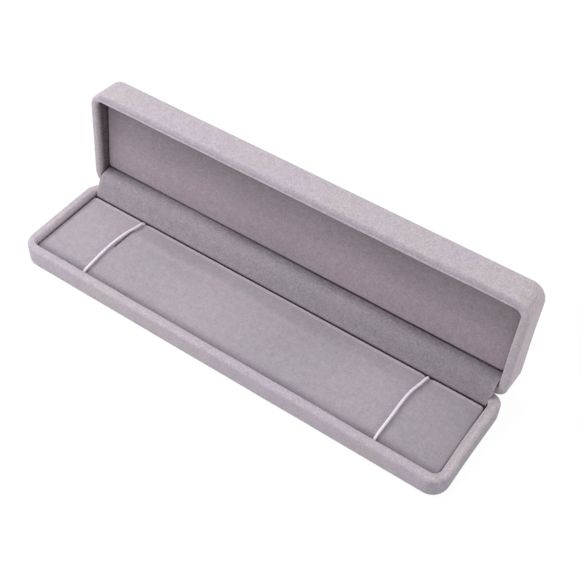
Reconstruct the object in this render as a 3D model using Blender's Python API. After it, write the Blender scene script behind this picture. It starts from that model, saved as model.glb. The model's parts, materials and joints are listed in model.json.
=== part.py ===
"""Long velvet necklace box, lid open: shells, velvet wraps, lift-out pad, lining and snap hinges.

Metres, +Z up. X runs along the box, Y from front to back. The origin lies at the middle of the
underside of the base. The lid is modelled closed, about its hinge axis, and turned open.
"""

from math import acos, cos, degrees, exp, pi, radians, sin, tan

import bmesh
import bpy
from mathutils import Matrix, Vector

# Overall sizes of the closed box
LENGTH = 0.230
WIDTH = 0.0545
BASE_HEIGHT = 0.0120
LID_HEIGHT = 0.0175
PLAN_RADIUS = 0.0080
RIM_GAP = 0.0003
OPEN_ANGLE = radians(95.0)

# Layers: velvet wrap, moulded shell, clearance between pieces that touch
CLEARANCE = 0.0003
WRAP_THICKNESS = 0.0008
FLOOR_THICKNESS = 0.0012
BASE_WALL = 0.0044
LID_WALL = 0.0041
RIM_OUTER_RADIUS = 0.0018
RIM_INNER_RADIUS = 0.0013
BASE_EDGE_RADIUS = 0.0023
LID_EDGE_RADIUS = 0.0028
FLOOR_FILLET = 0.0010
INNER_CORNER = 0.0020
BASE_WRAP_TUCK = 0.0070
LID_WRAP_TUCK = 0.0085
SMALLEST_CORNER = 0.0005

# Ribs on the floors of both shells, which carry the pad and the lining
RIB_THICKNESS = 0.0012
RIB_COUNT = 6
RIB_LAST_PLACE = 0.0150
RIB_END_ROOM = 0.0030

# Padded pieces: the pad in the base and the lining in the lid
COVER_THICKNESS = 0.0007
BOARD_THICKNESS = 0.0012
PAD_DROP = 0.0032
PAD_HEIGHT = 0.0045
PAD_CROWN = 0.0007
PAD_CORNER = 0.0010
PAD_SIDE_ROOM = 0.0005
PAD_REAR_ROOM = 0.0027
LINING_DEPTH = 0.0064
LINING_TILT = radians(2.2)
LINING_HEIGHT = 0.0052
LINING_CROWN = 0.0004
LINING_CORNER = 0.0022
LINING_ROOM = 0.0004
LINING_REAR_ROOM = 0.0050
CUSHION_EDGE_RADIUS = 0.0012
CUSHION_FOOT_RADIUS = 0.0008
HEM_WIDTH = 0.0060
CROWN_SHARES = (0.97, 0.75, 0.55, 0.38, 0.24, 0.13)
CROWN_END_SHARE = 0.6

# Slits in the pad and the elastic cords beside them, whose points count X from their slit
SLIT_END_ROOM = 0.0303
SLIT_WIDTH = 0.0006
SLIT_FRONT = -0.0145
SLIT_REAR = 0.0135
SLIT_DEPTH = 0.0018
CORD_DIAMETER = 0.0010
CORD_STEP = 0.0016
CORD_DRAW = 0.0014
CORD_DRAW_SPREAD = 0.0013
CORD_DRAW_FADE = 0.0050
CORD_DRAW_STATIONS = (-0.0032, -0.0016, -0.0008, 0.0, 0.0008, 0.0016, 0.0032)
KNOT_LENGTH = 0.0036
KNOT_RADIUS = 0.0010
KNOT_WRAPS = 3
KNOT_WRAPPED_SHARE = 0.92
KNOT_GROOVE = 0.0002
LEFT_CORD_ROUTE = (
    (0.0006, 0.0021, 0.0039),
    (0.0010, 0.0060, 0.0038),
    (0.0016, 0.0120, 0.0035),
    (0.0021, 0.0170, 0.0035),
    (0.0022, 0.0191, 0.0039),
    (0.0022, 0.0195, 0.0052),
    (0.0022, 0.0195, 0.0074),
    (0.0022, 0.0190, 0.0091),
    (0.0020, 0.0174, 0.0099),
    (0.0015, 0.0140, 0.0101),
    (0.0004, 0.0090, 0.0103),
    (-0.0003, 0.0030, 0.0104),
    (-0.0006, -0.0030, 0.0104),
    (-0.0005, -0.0090, 0.0103),
    (-0.0002, -0.0140, 0.0102),
    (0.0000, -0.0180, 0.0100),
    (0.0000, -0.0198, 0.0098),
    (0.0000, -0.0213, 0.0091),
    (0.0000, -0.0218, 0.0074),
    (0.0000, -0.0218, 0.0052),
    (0.0000, -0.0214, 0.0039),
    (0.0000, -0.0193, 0.0035),
    (0.0000, -0.0130, 0.0035),
    (0.0003, -0.0060, 0.0038),
    (0.0006, -0.0021, 0.0039),
)
RIGHT_CORD_ROUTE = (
    (0.0012, 0.0021, 0.0039),
    (0.0014, 0.0060, 0.0038),
    (0.0020, 0.0120, 0.0035),
    (0.0025, 0.0170, 0.0035),
    (0.0026, 0.0191, 0.0039),
    (0.0026, 0.0195, 0.0052),
    (0.0026, 0.0195, 0.0074),
    (0.0026, 0.0190, 0.0091),
    (0.0025, 0.0174, 0.0099),
    (0.0018, 0.0135, 0.0101),
    (0.0009, 0.0090, 0.0103),
    (0.0004, 0.0047, 0.0104),
    (0.0003, -0.0010, 0.0104),
    (0.0004, -0.0075, 0.0104),
    (0.0004, -0.0130, 0.0102),
    (0.0003, -0.0175, 0.0100),
    (0.0004, -0.0198, 0.0098),
    (0.0004, -0.0213, 0.0091),
    (0.0004, -0.0218, 0.0074),
    (0.0004, -0.0218, 0.0052),
    (0.0004, -0.0214, 0.0039),
    (0.0004, -0.0193, 0.0035),
    (0.0006, -0.0130, 0.0035),
    (0.0009, -0.0060, 0.0038),
    (0.0012, -0.0021, 0.0039),
)

# Snap hinges: two rolled leaves, a pin and an arched blade spring, at two places along the back
HINGE_INSET = 0.0010
HINGE_SPACING = 0.1200
HINGE_LENGTH = 0.0360
HINGE_ROOM = 0.0004
SHEET = 0.0004
PIN_RADIUS = 0.0004
PIN_ROOM = 0.00015
BASE_FINGER = 0.0080
SPRING_WIDTH = 0.0064
FINGER_ROOM = 0.0003
LEAF_BEND = 0.0008
ROLL_END = 200
FINGER_SLOT_DROP = 0.0022
SPRING_SLOT_DROP = 0.0038
BASE_LEAF_REACH = 0.0076
LID_LEAF_REACH = 0.0063
STAKE_RADIUS = 0.0008
STAKE_HEAD_RADIUS = 0.0013
STAKE_HEAD_THICKNESS = 0.0004
BASE_STAKE_DROP = 0.0050
LID_STAKE_RISE = 0.0040
SPRING_ARCH_RADIUS = 0.0075
SPRING_HOOK = 0.0007

# Velvet strip over the hinges, from behind the pad to the lining
COVER_STRIP_THICKNESS = 0.0007
COVER_STRIP_END_ROOM = 0.0014
COVER_STRIP_FOOT_ROOM = 0.0006
COVER_STRIP_TUCK = 0.0024
COVER_STRIP_SHIFT = 0.0007
COVER_STRIP_SHIFT_RISE = 0.0020
COVER_STRIP_SHARES = (
    (0.00, 0.00),
    (0.04, 0.15),
    (0.13, 0.34),
    (0.225, 0.55),
    (0.335, 0.76),
    (0.46, 0.90),
    (0.62, 0.98),
    (0.81, 1.01),
    (1.00, 1.00),
)

# How finely round forms are divided
CORNER_STEPS = 6
ARC_STEPS = 4
PIN_SIDES = 16
KNUCKLE_STEPS = 14
KNOT_SIDES = 12
SMOOTH_ANGLE = radians(40.0)
OVERRUN = 0.0010

# Places worked out from the sizes above
HALF_LENGTH = LENGTH / 2
HALF_WIDTH = WIDTH / 2
LID_RIM = BASE_HEIGHT + RIM_GAP
LID_TOP = LID_RIM + LID_HEIGHT
AXIS_Y = HALF_WIDTH - HINGE_INSET
AXIS_Z = BASE_HEIGHT + RIM_GAP / 2
SHELL_OFFSET = WRAP_THICKNESS + CLEARANCE
FLOOR_TOP = SHELL_OFFSET + FLOOR_THICKNESS
PAD_TOP = BASE_HEIGHT - PAD_DROP
PAD_BOTTOM = PAD_TOP - PAD_HEIGHT
PAD_FRONT = -HALF_WIDTH + BASE_WALL + PAD_SIDE_ROOM
PAD_REAR = HALF_WIDTH - BASE_WALL - PAD_REAR_ROOM
PAD_HALF_X = HALF_LENGTH - BASE_WALL - PAD_SIDE_ROOM
PAD_HALF_Y = (PAD_REAR - PAD_FRONT) / 2
PAD_MIDDLE_Y = (PAD_REAR + PAD_FRONT) / 2
SLIT_PLACE = PAD_HALF_X - SLIT_END_ROOM
LINING_HALF_X = HALF_LENGTH - LID_WALL - LINING_ROOM
LINING_HALF_Y = HALF_WIDTH - LID_WALL - (LINING_ROOM + LINING_REAR_ROOM) / 2
LINING_MIDDLE_Y = (LINING_ROOM - LINING_REAR_ROOM) / 2
LINING_FACE = LID_RIM + LINING_DEPTH
CORD_RADIUS = CORD_DIAMETER / 2
BORE_RADIUS = PIN_RADIUS + PIN_ROOM
KNUCKLE_RADIUS = BORE_RADIUS + SHEET
KNUCKLE_LINE = BORE_RADIUS + SHEET / 2
BASE_SHELL_FACE = -(BASE_WALL - SHELL_OFFSET - HINGE_INSET)
LID_SHELL_FACE = -(LID_WALL - SHELL_OFFSET - HINGE_INSET)
BASE_LEAF_LINE = BASE_SHELL_FACE - CLEARANCE - SHEET / 2
LID_LEAF_LINE = LID_SHELL_FACE - CLEARANCE - SHEET / 2
STAKE_SPREAD = HINGE_LENGTH - BASE_FINGER
LID_FINGER = (HINGE_LENGTH - SPRING_WIDTH) / 2 - BASE_FINGER - 2 * FINGER_ROOM

VELVET_OUTSIDE = ((0.52, 0.46, 0.51), 0.95, 0.0)
VELVET_PAD = ((0.41, 0.38, 0.43), 0.95, 0.0)
VELVET_LINING = ((0.31, 0.27, 0.31), 0.95, 0.0)
MOULDED_GREY = ((0.23, 0.21, 0.23), 0.55, 0.0)
FOAM_WHITE = ((0.72, 0.71, 0.66), 0.90, 0.0)
CARD_GREY = ((0.36, 0.34, 0.31), 0.85, 0.0)
ELASTIC_WHITE = ((0.86, 0.84, 0.92), 0.60, 0.0)
PLATED_STEEL = ((0.62, 0.61, 0.58), 0.32, 1.0)


def remove_everything():
    """Start from an empty scene."""
    for thing in list(bpy.data.objects):
        bpy.data.objects.remove(thing, do_unlink=True)


def make_empty(name, place, turn_x=0.0):
    """An empty that carries the pieces of one moving group."""
    empty = bpy.data.objects.new(name, None)
    empty.location = place
    empty.rotation_euler = (turn_x, 0.0, 0.0)
    bpy.context.scene.collection.objects.link(empty)
    return empty


def make_material(name, finish):
    """A Principled material of the given colour, roughness and metallic value."""
    colour, roughness, metallic = finish
    material = bpy.data.materials.new(name)
    material.use_nodes = True
    shader = material.node_tree.nodes["Principled BSDF"]
    shader.inputs["Base Color"].default_value = (*colour, 1.0)
    shader.inputs["Roughness"].default_value = roughness
    shader.inputs["Metallic"].default_value = metallic
    return material


def finish_object(name, bm, finish, group=None):
    """Turn a bmesh in box coordinates into a named object, carried by its group's empty."""
    bmesh.ops.recalc_face_normals(bm, faces=bm.faces)
    mesh = bpy.data.meshes.new(name)
    bm.to_mesh(mesh)
    bm.free()
    piece = bpy.data.objects.new(name, mesh)
    if group is not None:
        mesh.transform(Matrix.Translation(-group.location))
        piece.parent = group
    mesh.shade_smooth()
    mesh.set_sharp_from_angle(angle=SMOOTH_ANGLE)
    if finish is not None:
        mesh.materials.append(make_material(name, finish))
    bpy.context.scene.collection.objects.link(piece)
    return piece


def hide_cutter(piece):
    """Mark a helper solid that only shapes others."""
    piece.hide_render = True
    piece.display_type = "WIRE"
    return piece


def combine(piece, helper, operation):
    """Add or cut a helper solid with a live Boolean."""
    modifier = piece.modifiers.new(helper.name, "BOOLEAN")
    modifier.object = helper
    modifier.operation = operation
    modifier.solver = "EXACT"


def arc(centre, radius, start, stop, steps=ARC_STEPS):
    """Points of an arc in a profile plane; angles in degrees."""
    angles = [radians(start + (stop - start) * k / steps) for k in range(steps + 1)]
    return [(centre[0] + radius * cos(a), centre[1] + radius * sin(a)) for a in angles]


def plan_outline(half_x, half_y, radius, steps=CORNER_STEPS, front=(), rear=()):
    """Rounded rectangle seen from above, with extra stations along its long sides."""
    points = []
    for side_x, side_y, start in ((1, -1, -90), (1, 1, 0), (-1, 1, 90), (-1, -1, 180)):
        centre = (side_x * (half_x - radius), side_y * (half_y - radius))
        points += arc(centre, radius, start, start + 90, steps)
        if side_x > 0 and side_y > 0:
            points += [(x, half_y) for x in sorted(rear, reverse=True)]
        if side_x < 0 and side_y < 0:
            points += [(x, -half_y) for x in sorted(front)]
    return points


def loft(bm, rings):
    """Extrude a cap through rings of equally many points, and close the last one."""
    station = bm.verts.layers.int.new("station")
    verts = [bm.verts.new(point) for point in rings[0]]
    for place, vert in enumerate(verts):
        vert[station] = place
    edges = list(bm.faces.new(verts).edges)
    for ring in rings[1:]:
        grown = bmesh.ops.extrude_edge_only(bm, edges=edges)["geom"]
        verts = [item for item in grown if isinstance(item, bmesh.types.BMVert)]
        for vert in verts:
            vert.co = ring[vert[station]]
        fresh = set(verts)
        edges = [
            item
            for item in grown
            if isinstance(item, bmesh.types.BMEdge) and fresh.issuperset(item.verts)
        ]
    bm.faces.new(sorted(verts, key=lambda vert: vert[station]))


def extrude_outline(bm, outline, start, stop):
    """Extrude a closed (y, z) outline along X as one solid."""
    face = bm.faces.new([bm.verts.new((start, y, z)) for y, z in outline])
    grown = bmesh.ops.extrude_face_region(bm, geom=[face])["geom"]
    moved = [item for item in grown if isinstance(item, bmesh.types.BMVert)]
    bmesh.ops.translate(bm, verts=moved, vec=(stop - start, 0.0, 0.0))


def add_block(bm, low, high):
    """A block between two corners."""
    middle = (Vector(low) + Vector(high)) / 2
    size = Vector(high) - Vector(low)
    matrix = Matrix.Translation(middle) @ Matrix.Diagonal((*size, 1.0))
    bmesh.ops.create_cube(bm, size=1.0, matrix=matrix)


def thicken(path, thickness):
    """Closed outline of a sheet of even thickness along an open (y, z) path."""
    left, right = [], []
    for k, point in enumerate(path):
        before = path[max(k - 1, 0)]
        after = path[min(k + 1, len(path) - 1)]
        run_in = Vector((point[0] - before[0], point[1] - before[1]))
        run_out = Vector((after[0] - point[0], after[1] - point[1]))
        along = (run_in.normalized() + run_out.normalized()).normalized()
        steady = run_in if run_in.length > run_out.length else run_out
        stretch = thickness / 2 / max(along.dot(steady.normalized()), cos(pi / 4))
        normal = Vector((-along.y, along.x)) * stretch
        left.append((point[0] + normal.x, point[1] + normal.y))
        right.append((point[0] - normal.x, point[1] - normal.y))
    return left + right[::-1]


def smooth_route(points, step):
    """Points about a step apart on a Catmull-Rom curve through a route."""
    points = [Vector(point) for point in points]
    padded = [2 * points[0] - points[1], *points, 2 * points[-1] - points[-2]]
    route = []
    for before, start, stop, after in zip(padded, padded[1:], padded[2:], padded[3:]):
        count = max(1, round((stop - start).length / step))
        for k in range(count):
            t = k / count
            route.append(
                start
                + (stop - before) * (t / 2)
                + (2 * before - 5 * start + 4 * stop - after) * (t * t / 2)
                + (3 * start - before - 3 * stop + after) * (t ** 3 / 2)
            )
    return route + [points[-1]]


def wall_section(height, wall, edge_radius, offset, tuck):
    """Profile of a tray's wall, as (inset, height) points, shrunk inwards by an offset.

    It runs up the outside from the bottom edge, over the rim and down inside to the tuck.
    """
    outer = RIM_OUTER_RADIUS - offset
    inner = RIM_INNER_RADIUS - offset
    points = arc((edge_radius, edge_radius), edge_radius - offset, 270, 180)
    points += arc((RIM_OUTER_RADIUS, height - RIM_OUTER_RADIUS), outer, 180, 90)
    points += arc((wall - RIM_INNER_RADIUS, height - RIM_INNER_RADIUS), inner, 90, 0)
    return points + [(wall - offset, height - tuck)]


def tray_rings(profile, wall, to_z):
    """Rounded-rectangle rings for (inset, height) profile points.

    The corner's radius falls from the outside to the inner face of the wall.
    """
    rings = []
    for inset, height in profile:
        radius = PLAN_RADIUS - (PLAN_RADIUS - INNER_CORNER) * inset / wall
        radius = max(radius, SMALLEST_CORNER)
        outline = plan_outline(HALF_LENGTH - inset, HALF_WIDTH - inset, radius)
        rings.append([(x, y, to_z(height)) for x, y in outline])
    return rings


def base_z(height):
    """Height above the floor in the base."""
    return height


def lid_z(height):
    """Height in the closed lid, whose profile is counted down from its top."""
    return LID_TOP - height


def build_wrap(name, height, wall, edge_radius, tuck, to_z, group=None):
    """Velvet skin round the outside of a shell, over its rim and tucked down inside."""
    outside = wall_section(height, wall, edge_radius, 0.0, tuck)
    inside = wall_section(height, wall, edge_radius, WRAP_THICKNESS, tuck)
    bm = bmesh.new()
    loft(bm, tray_rings(outside + inside[::-1], wall, to_z))
    return finish_object(name, bm, VELVET_OUTSIDE, group)


def build_shell(name, height, wall, edge_radius, to_z, group=None):
    """Moulded tray inside the wrap, with a filleted floor."""
    inner = wall - SHELL_OFFSET
    floor_depth = height - FLOOR_TOP - FLOOR_FILLET
    profile = wall_section(height, wall, edge_radius, SHELL_OFFSET, floor_depth)[:-1]
    centre = (inner + FLOOR_FILLET, FLOOR_TOP + FLOOR_FILLET)
    profile += arc(centre, FLOOR_FILLET, 180, 270)
    bm = bmesh.new()
    loft(bm, tray_rings(profile, wall, to_z))
    return finish_object(name, bm, MOULDED_GREY, group)


def hinge_places():
    """Middle of each hinge along the back."""
    return {"left": -HINGE_SPACING / 2, "right": HINGE_SPACING / 2}


def add_ribs(bm, floor, top, half_y, middle_y, tilt=0.0):
    """Cross ribs that stand on a shell's floor, with tops that slope by the tilt."""
    rise = half_y * tan(tilt)
    reach = HALF_LENGTH - RIB_LAST_PLACE
    outline = [
        (middle_y - half_y, floor),
        (middle_y + half_y, floor),
        (middle_y + half_y, top - rise),
        (middle_y - half_y, top + rise),
    ]
    for k in range(RIB_COUNT):
        x = reach * (2 * k / (RIB_COUNT - 1) - 1)
        extrude_outline(bm, outline, x - RIB_THICKNESS / 2, x + RIB_THICKNESS / 2)


def add_stakes(bm, face, leaf_line, height):
    """Moulded stakes with spread heads, which hold a hinge leaf to the shell's rear wall."""
    head = leaf_line - SHEET / 2 - CLEARANCE
    profile = (
        (0.0, face + OVERRUN),
        (STAKE_RADIUS, face + OVERRUN),
        (STAKE_RADIUS, head),
        (STAKE_HEAD_RADIUS, head),
        (STAKE_HEAD_RADIUS, head - STAKE_HEAD_THICKNESS / 2),
        (STAKE_RADIUS, head - STAKE_HEAD_THICKNESS),
        (0.0, head - STAKE_HEAD_THICKNESS),
    )
    for middle in hinge_places().values():
        for side in (-1, 1):
            x = middle + side * STAKE_SPREAD / 2
            verts = [bm.verts.new((x + r, AXIS_Y + y, height)) for r, y in profile]
            edges = [bm.edges.new(pair) for pair in zip(verts, verts[1:])]
            bmesh.ops.spin(
                bm,
                geom=verts + edges,
                cent=(x, AXIS_Y, height),
                axis=(0.0, 1.0, 0.0),
                angle=2 * pi,
                steps=PIN_SIDES,
                use_merge=True,
            )
    bmesh.ops.remove_doubles(bm, verts=bm.verts, dist=CLEARANCE / 100)


def cut_hinge_windows(wrap, wall_face, reach, side, group=None):
    """Open the wrap over the rim and down its inner leaf where a hinge sits."""
    half = HINGE_LENGTH / 2 + HINGE_ROOM
    rim = side * (KNUCKLE_RADIUS + HINGE_ROOM / 2)
    open_end = -side * KNUCKLE_RADIUS
    depth = side * (reach + HINGE_ROOM)
    behind = wall_face - CLEARANCE / 2
    for name, middle in hinge_places().items():
        over_rim = bmesh.new()
        add_block(
            over_rim,
            (middle - half, AXIS_Y + behind - BASE_WALL, AXIS_Z + min(rim, open_end)),
            (middle + half, AXIS_Y + HINGE_INSET + OVERRUN, AXIS_Z + max(rim, open_end)),
        )
        cutter = hide_cutter(finish_object(f"{wrap.name}_rim_{name}", over_rim, None, group))
        combine(wrap, cutter, "DIFFERENCE")
        down_leaf = bmesh.new()
        add_block(
            down_leaf,
            (middle - half, AXIS_Y + behind - BASE_WALL, AXIS_Z + min(depth, open_end)),
            (middle + half, AXIS_Y + behind, AXIS_Z + max(depth, open_end)),
        )
        cutter = hide_cutter(finish_object(f"{wrap.name}_leaf_{name}", down_leaf, None, group))
        combine(wrap, cutter, "DIFFERENCE")


def build_base():
    """Base tray: moulded shell with ribs and stakes, in its velvet wrap."""
    wrap = build_wrap(
        "base_wrap", BASE_HEIGHT, BASE_WALL, BASE_EDGE_RADIUS, BASE_WRAP_TUCK, base_z
    )
    cut_hinge_windows(wrap, BASE_SHELL_FACE, BASE_LEAF_REACH, -1)
    shell = build_shell("base_shell", BASE_HEIGHT, BASE_WALL, BASE_EDGE_RADIUS, base_z)
    extras = bmesh.new()
    half_y = PAD_HALF_Y - RIB_END_ROOM
    add_ribs(extras, FLOOR_TOP - FLOOR_THICKNESS / 2, PAD_BOTTOM - CLEARANCE, half_y, PAD_MIDDLE_Y)
    add_stakes(extras, BASE_SHELL_FACE, BASE_LEAF_LINE, AXIS_Z - BASE_STAKE_DROP)
    helper = hide_cutter(finish_object("base_shell_extras", extras, None))
    combine(shell, helper, "UNION")


def build_lid(group):
    """Lid tray, modelled closed: the deeper shell in its wrap."""
    wrap = build_wrap(
        "lid_wrap", LID_HEIGHT, LID_WALL, LID_EDGE_RADIUS, LID_WRAP_TUCK, lid_z, group
    )
    cut_hinge_windows(wrap, LID_SHELL_FACE, LID_WRAP_TUCK, 1, group)
    shell = build_shell("lid_shell", LID_HEIGHT, LID_WALL, LID_EDGE_RADIUS, lid_z, group)
    extras = bmesh.new()
    half_y = LINING_HALF_Y - RIB_END_ROOM
    rib_foot = LID_TOP - FLOOR_TOP + FLOOR_THICKNESS / 2
    rib_top = LINING_FACE + LINING_HEIGHT / cos(LINING_TILT) + CLEARANCE
    add_ribs(extras, rib_foot, rib_top, half_y, LINING_MIDDLE_Y, LINING_TILT)
    add_stakes(extras, LID_SHELL_FACE, LID_LEAF_LINE, AXIS_Z + LID_STAKE_RISE)
    helper = hide_cutter(finish_object("lid_shell_extras", extras, None, group))
    combine(shell, helper, "UNION")


class Cushion:
    """A board with foam on it in a velvet cover whose hem is turned under.

    Heights are counted from the underside. The face is crowned, and the cover, foam and board
    are drawn in alike where a cord passes over the long sides.
    """

    def __init__(self, half_x, half_y, corner, height, crown, cords=()):
        self.half_x = half_x
        self.half_y = half_y
        self.corner = corner
        self.height = height
        self.crown = crown
        self.cords = cords

    def end_inset(self, inset):
        """Inset of a ring at the short ends, where the crown rises faster."""
        edge = min(inset, CUSHION_EDGE_RADIUS)
        return edge + (inset - edge) * CROWN_END_SHARE

    def crown_at(self, inset):
        """Extra height of the face at a distance from its edge."""
        share = min(inset / self.half_y, 1.0)
        return self.crown * (1.0 - (1.0 - share) ** 2)

    def draw_at(self, x, side, inset):
        """How far a long side is drawn in by the cords."""
        fade = max(0.0, 1.0 - inset / CORD_DRAW_FADE)
        total = 0.0
        for front_x, rear_x in self.cords:
            centre = rear_x if side > 0 else front_x
            total += exp(-(((x - centre) / CORD_DRAW_SPREAD) ** 2))
        return CORD_DRAW * total * fade

    def rings(self, profile):
        """Rings for (inset, height) points, drawn in at the cords."""
        front = [f + d for f, _ in self.cords for d in CORD_DRAW_STATIONS]
        rear = [r + d for _, r in self.cords for d in CORD_DRAW_STATIONS]
        rings = []
        for inset, height in profile:
            half_y = self.half_y - inset
            radius = max(self.corner - inset, SMALLEST_CORNER / 2)
            radius = min(radius, half_y * CROWN_SHARES[0])
            half_x = self.half_x - self.end_inset(inset)
            outline = plan_outline(half_x, half_y, radius, ARC_STEPS - 1, front, rear)
            ring = []
            for x, y in outline:
                side = 1 if y > 0 else -1
                ring.append((x, y - side * self.draw_at(x, side, inset), height))
            rings.append(ring)
        return rings

    def face(self, offset):
        """Profile of the crowned face from its middle to its rounded edge."""
        radius = max(CUSHION_EDGE_RADIUS - offset, SMALLEST_CORNER / 2)
        edge = offset + radius
        points = []
        for share in CROWN_SHARES:
            inset = self.half_y * share
            if inset > edge:
                points.append((inset, self.height - offset + self.crown_at(inset)))
        lift = self.crown_at(edge)
        centre = (edge, self.height - offset - radius)
        for inset, height in arc(centre, radius, 90, 180, ARC_STEPS - 1):
            share = (height - centre[1]) / radius
            points.append((inset, height + lift * share))
        return points

    def cover(self):
        """Profile of the cover: out over the face, under to the hem and back inside."""
        foot = CUSHION_FOOT_RADIUS
        points = self.face(0.0)
        points += arc((foot, foot), foot, 180, 270, ARC_STEPS - 2)
        points += [(HEM_WIDTH, 0.0), (HEM_WIDTH, COVER_THICKNESS)]
        points += [(COVER_THICKNESS, COVER_THICKNESS)]
        return points + self.face(COVER_THICKNESS)[::-1]

    def foam(self):
        """Profile of the foam slab under the cover's face."""
        offset = COVER_THICKNESS + CLEARANCE
        bottom = offset + BOARD_THICKNESS + CLEARANCE
        return self.face(offset) + [(offset, bottom)]

    def board(self):
        """Profile of the card board at the bottom."""
        offset = COVER_THICKNESS + CLEARANCE
        return [(offset, offset), (offset, offset + BOARD_THICKNESS)]

    def build(self, prefix, velvet, place, group):
        """Make the cover, foam and board, set in place by a matrix."""
        parts = (
            (f"{prefix}_cover", self.cover(), velvet),
            (f"{prefix}_foam", self.foam(), FOAM_WHITE),
            (f"{prefix}_board", self.board(), CARD_GREY),
        )
        pieces = []
        for name, profile, finish in parts:
            bm = bmesh.new()
            loft(bm, self.rings(profile))
            bmesh.ops.transform(bm, matrix=place, verts=bm.verts)
            pieces.append(finish_object(name, bm, finish, group))
        return pieces


def place_route(points, side):
    """A cord's points, set at the slit on its side."""
    return [(side * SLIT_PLACE + x, y, z) for x, y, z in points]


def cord_edge_places(route):
    """Where a cord passes the pad's front and rear edges."""
    front = min(route, key=lambda point: point[1])[0]
    rear = max(route, key=lambda point: point[1])[0]
    return front, rear


def build_pad(routes, group):
    """Lift-out pad, with its two slits."""
    cords = [cord_edge_places(route) for route in routes]
    pad = Cushion(PAD_HALF_X, PAD_HALF_Y, PAD_CORNER, PAD_HEIGHT, PAD_CROWN, cords)
    place = Matrix.Translation((0.0, PAD_MIDDLE_Y, PAD_BOTTOM))
    cover, foam, _ = pad.build("pad", VELVET_PAD, place, group)
    slits = bmesh.new()
    for side in (-1, 1):
        x = side * SLIT_PLACE
        low = (x - SLIT_WIDTH / 2, SLIT_FRONT, PAD_TOP - SLIT_DEPTH)
        high = (x + SLIT_WIDTH / 2, SLIT_REAR, PAD_TOP + PAD_CROWN + OVERRUN)
        add_block(slits, low, high)
    cutter = hide_cutter(finish_object("pad_slits", slits, None, group))
    combine(cover, cutter, "DIFFERENCE")
    combine(foam, cutter, "DIFFERENCE")


def build_lining(group):
    """Lining panel of the lid, modelled face down in the closed lid."""
    lining = Cushion(
        LINING_HALF_X, LINING_HALF_Y, LINING_CORNER, LINING_HEIGHT, LINING_CROWN
    )
    face_down = Matrix.Translation((0.0, 0.0, LINING_HEIGHT)) @ Matrix.Rotation(pi, 4, "X")
    tilted = Matrix.Rotation(-LINING_TILT, 4, "X") @ face_down
    place = Matrix.Translation((0.0, LINING_MIDDLE_Y, LINING_FACE)) @ tilted
    lining.build("lining", VELVET_LINING, place, group)


def build_cord(name, route, group):
    """Elastic cord round the pad, from one side of its knot to the other."""
    points = smooth_route(route, CORD_STEP)
    curve = bpy.data.curves.new(name, "CURVE")
    curve.dimensions = "3D"
    curve.bevel_depth = CORD_RADIUS
    curve.bevel_resolution = 2
    curve.use_fill_caps = True
    spline = curve.splines.new("POLY")
    spline.points.add(len(points) - 1)
    for spot, point in zip(spline.points, points):
        spot.co = (*(point - group.location), 1.0)
    spline.use_smooth = True
    curve.materials.append(make_material(name, ELASTIC_WHITE))
    cord = bpy.data.objects.new(name, curve)
    cord.parent = group
    bpy.context.scene.collection.objects.link(cord)


def build_knot(name, route, group):
    """Wrapped knot that joins the ends of a cord under the pad."""
    start, stop = Vector(route[0]), Vector(route[-1])
    middle = (start + stop) / 2
    half = (start - stop).length / 2 - CLEARANCE
    count = 4 * KNOT_WRAPS
    bm = bmesh.new()
    verts = [bm.verts.new((0.0, -half, 0.0))]
    for k in range(count + 1):
        share = k / count
        rise = sin(pi * share * KNOT_WRAPS) ** 2
        radius = KNOT_RADIUS - KNOT_GROOVE * (1.0 - rise)
        place = half * KNOT_WRAPPED_SHARE * (2.0 * share - 1.0)
        verts.append(bm.verts.new((radius, place, 0.0)))
    verts.append(bm.verts.new((0.0, half, 0.0)))
    edges = [bm.edges.new(pair) for pair in zip(verts, verts[1:])]
    bmesh.ops.spin(
        bm,
        geom=verts + edges,
        cent=(0.0, 0.0, 0.0),
        axis=(0.0, 1.0, 0.0),
        angle=2 * pi,
        steps=KNOT_SIDES,
        use_merge=True,
    )
    bmesh.ops.remove_doubles(bm, verts=bm.verts, dist=KNOT_GROOVE / 100)
    bmesh.ops.translate(bm, verts=bm.verts, vec=middle)
    finish_object(name, bm, ELASTIC_WHITE, group)


def leaf_path(leaf_line, reach, side):
    """Path of a leaf's sheet: rolled round the pin, over the rim, then along the wall."""
    tab = -KNUCKLE_LINE
    path = arc((0.0, 0.0), KNUCKLE_LINE, ROLL_END, -90, KNUCKLE_STEPS)
    path += arc((leaf_line + LEAF_BEND, tab - LEAF_BEND), LEAF_BEND, 90, 180)
    path += [(leaf_line, -reach)]
    return [(y, -side * z) for y, z in path]


def build_leaf(name, middle, leaf_line, reach, side, slots, group=None):
    """A rolled sheet leaf with slots (start, stop, drop) cut from its rolled edge down."""
    outline = thicken(leaf_path(leaf_line, reach, side), SHEET)
    outline = [(AXIS_Y + y, AXIS_Z + z) for y, z in outline]
    half = HINGE_LENGTH / 2
    bm = bmesh.new()
    extrude_outline(bm, outline, middle - half, middle + half)
    leaf = finish_object(name, bm, PLATED_STEEL, group)
    cutter = bmesh.new()
    near = -side * (KNUCKLE_RADIUS + OVERRUN)
    for start, stop, drop in slots:
        far = side * drop
        low = (middle + start, AXIS_Y + leaf_line - OVERRUN, AXIS_Z + min(far, near))
        high = (middle + stop, AXIS_Y + KNUCKLE_RADIUS + OVERRUN, AXIS_Z + max(far, near))
        add_block(cutter, low, high)
    combine(leaf, hide_cutter(finish_object(f"{name}_slots", cutter, None, group)), "DIFFERENCE")
    return leaf


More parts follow.
